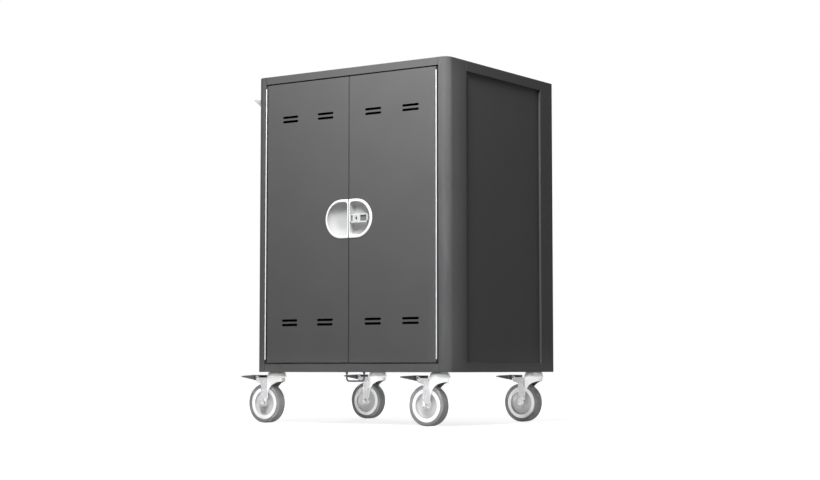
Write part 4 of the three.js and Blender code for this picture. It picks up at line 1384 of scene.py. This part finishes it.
@dataclass
class RearAccess:
    """The rear door with its pin and lock, the mains inlet and the rocker switch."""

    sheet_edge_mm: float = 0.7
    lock_edge_mm: float = 0.7
    inlet_edge_mm: float = 0.5
    pin_edge_mm: float = 0.25
    screw_mm: Pair = (2.1, 1.4)
    screw_taper: float = 0.6
    screw_sides: int = 24
    screw_inset_mm: float = 2.6
    screw_proud_mm: float = 0.3

    def build(self) -> None:
        """Dresses the rear."""
        dress_solid("rear_door", "rear_door", Slot.CABINET_PAINT, self.sheet_edge_mm)
        dress_solid("rear_hinge_pin", "cabinet", Slot.HINGE_STEEL, self.pin_edge_mm)
        dress_solid("rear_lock", "rear_lock", Slot.ZINC_PLATE, self.lock_edge_mm, segments=3)
        dress_solid("mains_inlet", "cabinet", Slot.BLACK_PLASTIC, self.inlet_edge_mm)
        dress_solid("power_switch", "power_switch", Slot.BLACK_PLASTIC, self.inlet_edge_mm)
        self._screws()

    def _screws(self) -> None:
        """Puts a screw at each end of the inlet's flange."""
        low, high = flat_box("mains_inlet")
        start = Vector((low.x + self.screw_inset_mm, high.y + self.screw_proud_mm, (low.z + high.z) / 2))
        step = Vector((high.x - low.x - 2 * self.screw_inset_mm, 0.0, 0.0))
        radius, height = self.screw_mm
        heads = Row(RowShape.ROUND, 2, start * MM, step * MM, mm(radius, 0.0, height), TURNED_OUT,
                    self.screw_taper, self.screw_sides)
        mount(heads.build("inlet_screws", FINISHES[Slot.ZINC_PLATE]), "cabinet", Slot.ZINC_PLATE)


@dataclass(frozen=True)
class Lamp:
    """A soft rectangular studio lamp."""

    name: str
    place: Triple
    aim: Triple
    size: Pair
    power: float
    spread_deg: float = 180.0

    def build(self) -> None:
        """Hangs the lamp and points it at its aim."""
        data = bpy.data.lights.new(self.name, "AREA")
        data.shape = "RECTANGLE"
        data.size, data.size_y = self.size
        data.energy = self.power
        data.spread = math.radians(self.spread_deg)
        lamp = add_object(self.name, data)
        lamp.location = self.place
        way = Vector(self.aim) - Vector(self.place)
        lamp.rotation_euler = way.to_track_quat("-Z", "Y").to_euler()
        lamp.visible_camera = False
        lamp.visible_glossy = False


def seen_rays(tree: NodeTree) -> NodeSocket:
    """Tells the rays that show the background, straight or in a reflection, from those that only light.

    Args:
        tree: The floor's or the world's node tree.

    Returns:
        A socket that is one for a camera, glossy or transmission ray.
    """
    rays = tree.nodes.new("ShaderNodeLightPath").outputs
    seen = rays["Is Camera Ray"]
    for kind in ("Is Glossy Ray", "Is Transmission Ray"):
        seen = maths(tree, "MAXIMUM", seen, rays[kind])
    return seen


@dataclass
class Studio:
    """White floor and background, soft lamps and the photograph's camera."""

    place: Triple = (2.6079, -3.7470, 0.1425)
    azimuth: float = 34.397
    pitch: float = 4.26
    lens_mm: float = 75.45
    sensor_mm: float = 36.0
    ambient: float = 0.015
    floor_grey: float = 0.25
    floor_glow: float = 0.85
    glow_span_m: Pair = (0.4, 1.3)
    floor_m: float = 30.0
    lamps: tuple[Lamp, ...] = (
        Lamp("key_lamp", (0.6, -1.5, 2.0), (0.1, -0.25, 0.55), (0.8, 0.8), 54.0),
        Lamp("low_lamp", (0.5, -2.2, 0.22), (0.1, 0.0, 0.1), (1.8, 0.3), 4.5),
        Lamp("caster_lamp", (0.8, -1.3, 0.05), (0.0, 0.0, 0.065), (1.0, 0.1), 0.38, 8.0),
        Lamp("corner_lamp", (1.33, -1.24, 0.52), (0.335, -0.245, 0.52), (0.04, 0.75), 0.085, 4.0),
        Lamp("back_lamp", (-1.6, 2.4, 1.8), (0.0, 0.2, 0.5), (1.4, 1.4), 75.0),
        Lamp("under_lamp", (0.0, 0.0, 0.004), (0.0, 0.0, 1.0), (0.5, 0.42), 0.8),
        Lamp("top_lamp", (0.4, -0.85, 1.5), (0.28, -0.26, 0.9), (0.3, 0.3), 14.0),
    )

    def build(self) -> None:
        """Sets the stage."""
        self._camera()
        self._world()
        self._floor()
        for lamp in self.lamps:
            lamp.build()
        bpy.context.scene.view_settings.view_transform = "Standard"

    def _camera(self) -> None:
        """Stands the camera where the photograph was taken."""
        data = bpy.data.cameras.new("camera")
        data.sensor_width = self.sensor_mm
        data.lens = self.lens_mm
        camera = add_object("camera", data)
        camera.location = self.place
        turn, tilt = math.radians(self.azimuth), math.radians(self.pitch)
        camera.rotation_euler = Euler((math.pi / 2 + tilt, 0.0, turn))
        bpy.context.scene.camera = camera

    def _world(self) -> None:
        """Shows a white background and lights the object with a plain dimmer level."""
        world = bpy.data.worlds.new("studio")
        world.use_nodes = True
        bpy.context.scene.world = world
        tree = world.node_tree
        level = tree.nodes["Background"].inputs
        level["Color"].default_value = WHITE
        spread = add_node(tree, "ShaderNodeMapRange", Value=seen_rays(tree), To_Min=self.ambient, To_Max=1.0)
        feed(tree, level["Strength"], spread.outputs["Result"])

    def _floor(self) -> None:
        """Lays a white floor that keeps a faint shadow of the object."""
        material = bpy.data.materials.new("white_floor")
        material.use_nodes = True
        tree = material.node_tree
        shader = tree.nodes["Principled BSDF"].inputs
        shader["Base Color"].default_value = (self.floor_grey, self.floor_grey, self.floor_grey, 1.0)
        shader["Roughness"].default_value = 1.0
        shader["Specular IOR Level"].default_value = 0.0
        shader["Emission Color"].default_value = WHITE
        reach = tree.nodes.new("ShaderNodeVectorMath")
        reach.operation = "LENGTH"
        feed(tree, reach.inputs[0], tree.nodes.new("ShaderNodeTexCoord").outputs["Object"])
        near, far = self.glow_span_m
        fade = add_node(tree, "ShaderNodeMapRange", Value=reach.outputs["Value"], From_Min=near, From_Max=far,
                        To_Min=self.floor_glow)
        glow = maths(tree, "MULTIPLY", seen_rays(tree), fade.outputs["Result"])
        feed(tree, shader["Emission Strength"], glow)
        half = self.floor_m / 2
        corners = [(-half, -half, 0), (half, -half, 0), (half, half, 0), (-half, half, 0)]
        mesh = bpy.data.meshes.new("floor")
        mesh.from_pydata(corners, [], [tuple(range(len(corners)))])
        mesh.materials.append(material)
        add_object("floor", mesh)


def main() -> None:
    """Builds the whole picture, one sub-assembly after another."""
    logging.basicConfig(level=logging.INFO, format="%(name)s: %(message)s")
    Studio().build()
    CabinetShell().build()
    SideFittings().build()
    FrontDoors().build()
    for corner in ("front_left", "front_right", "rear_left", "rear_right"):
        Caster(corner).build()
    ChargingBay().build()
    RearAccess().build()


if __name__ == "__main__":
    main()
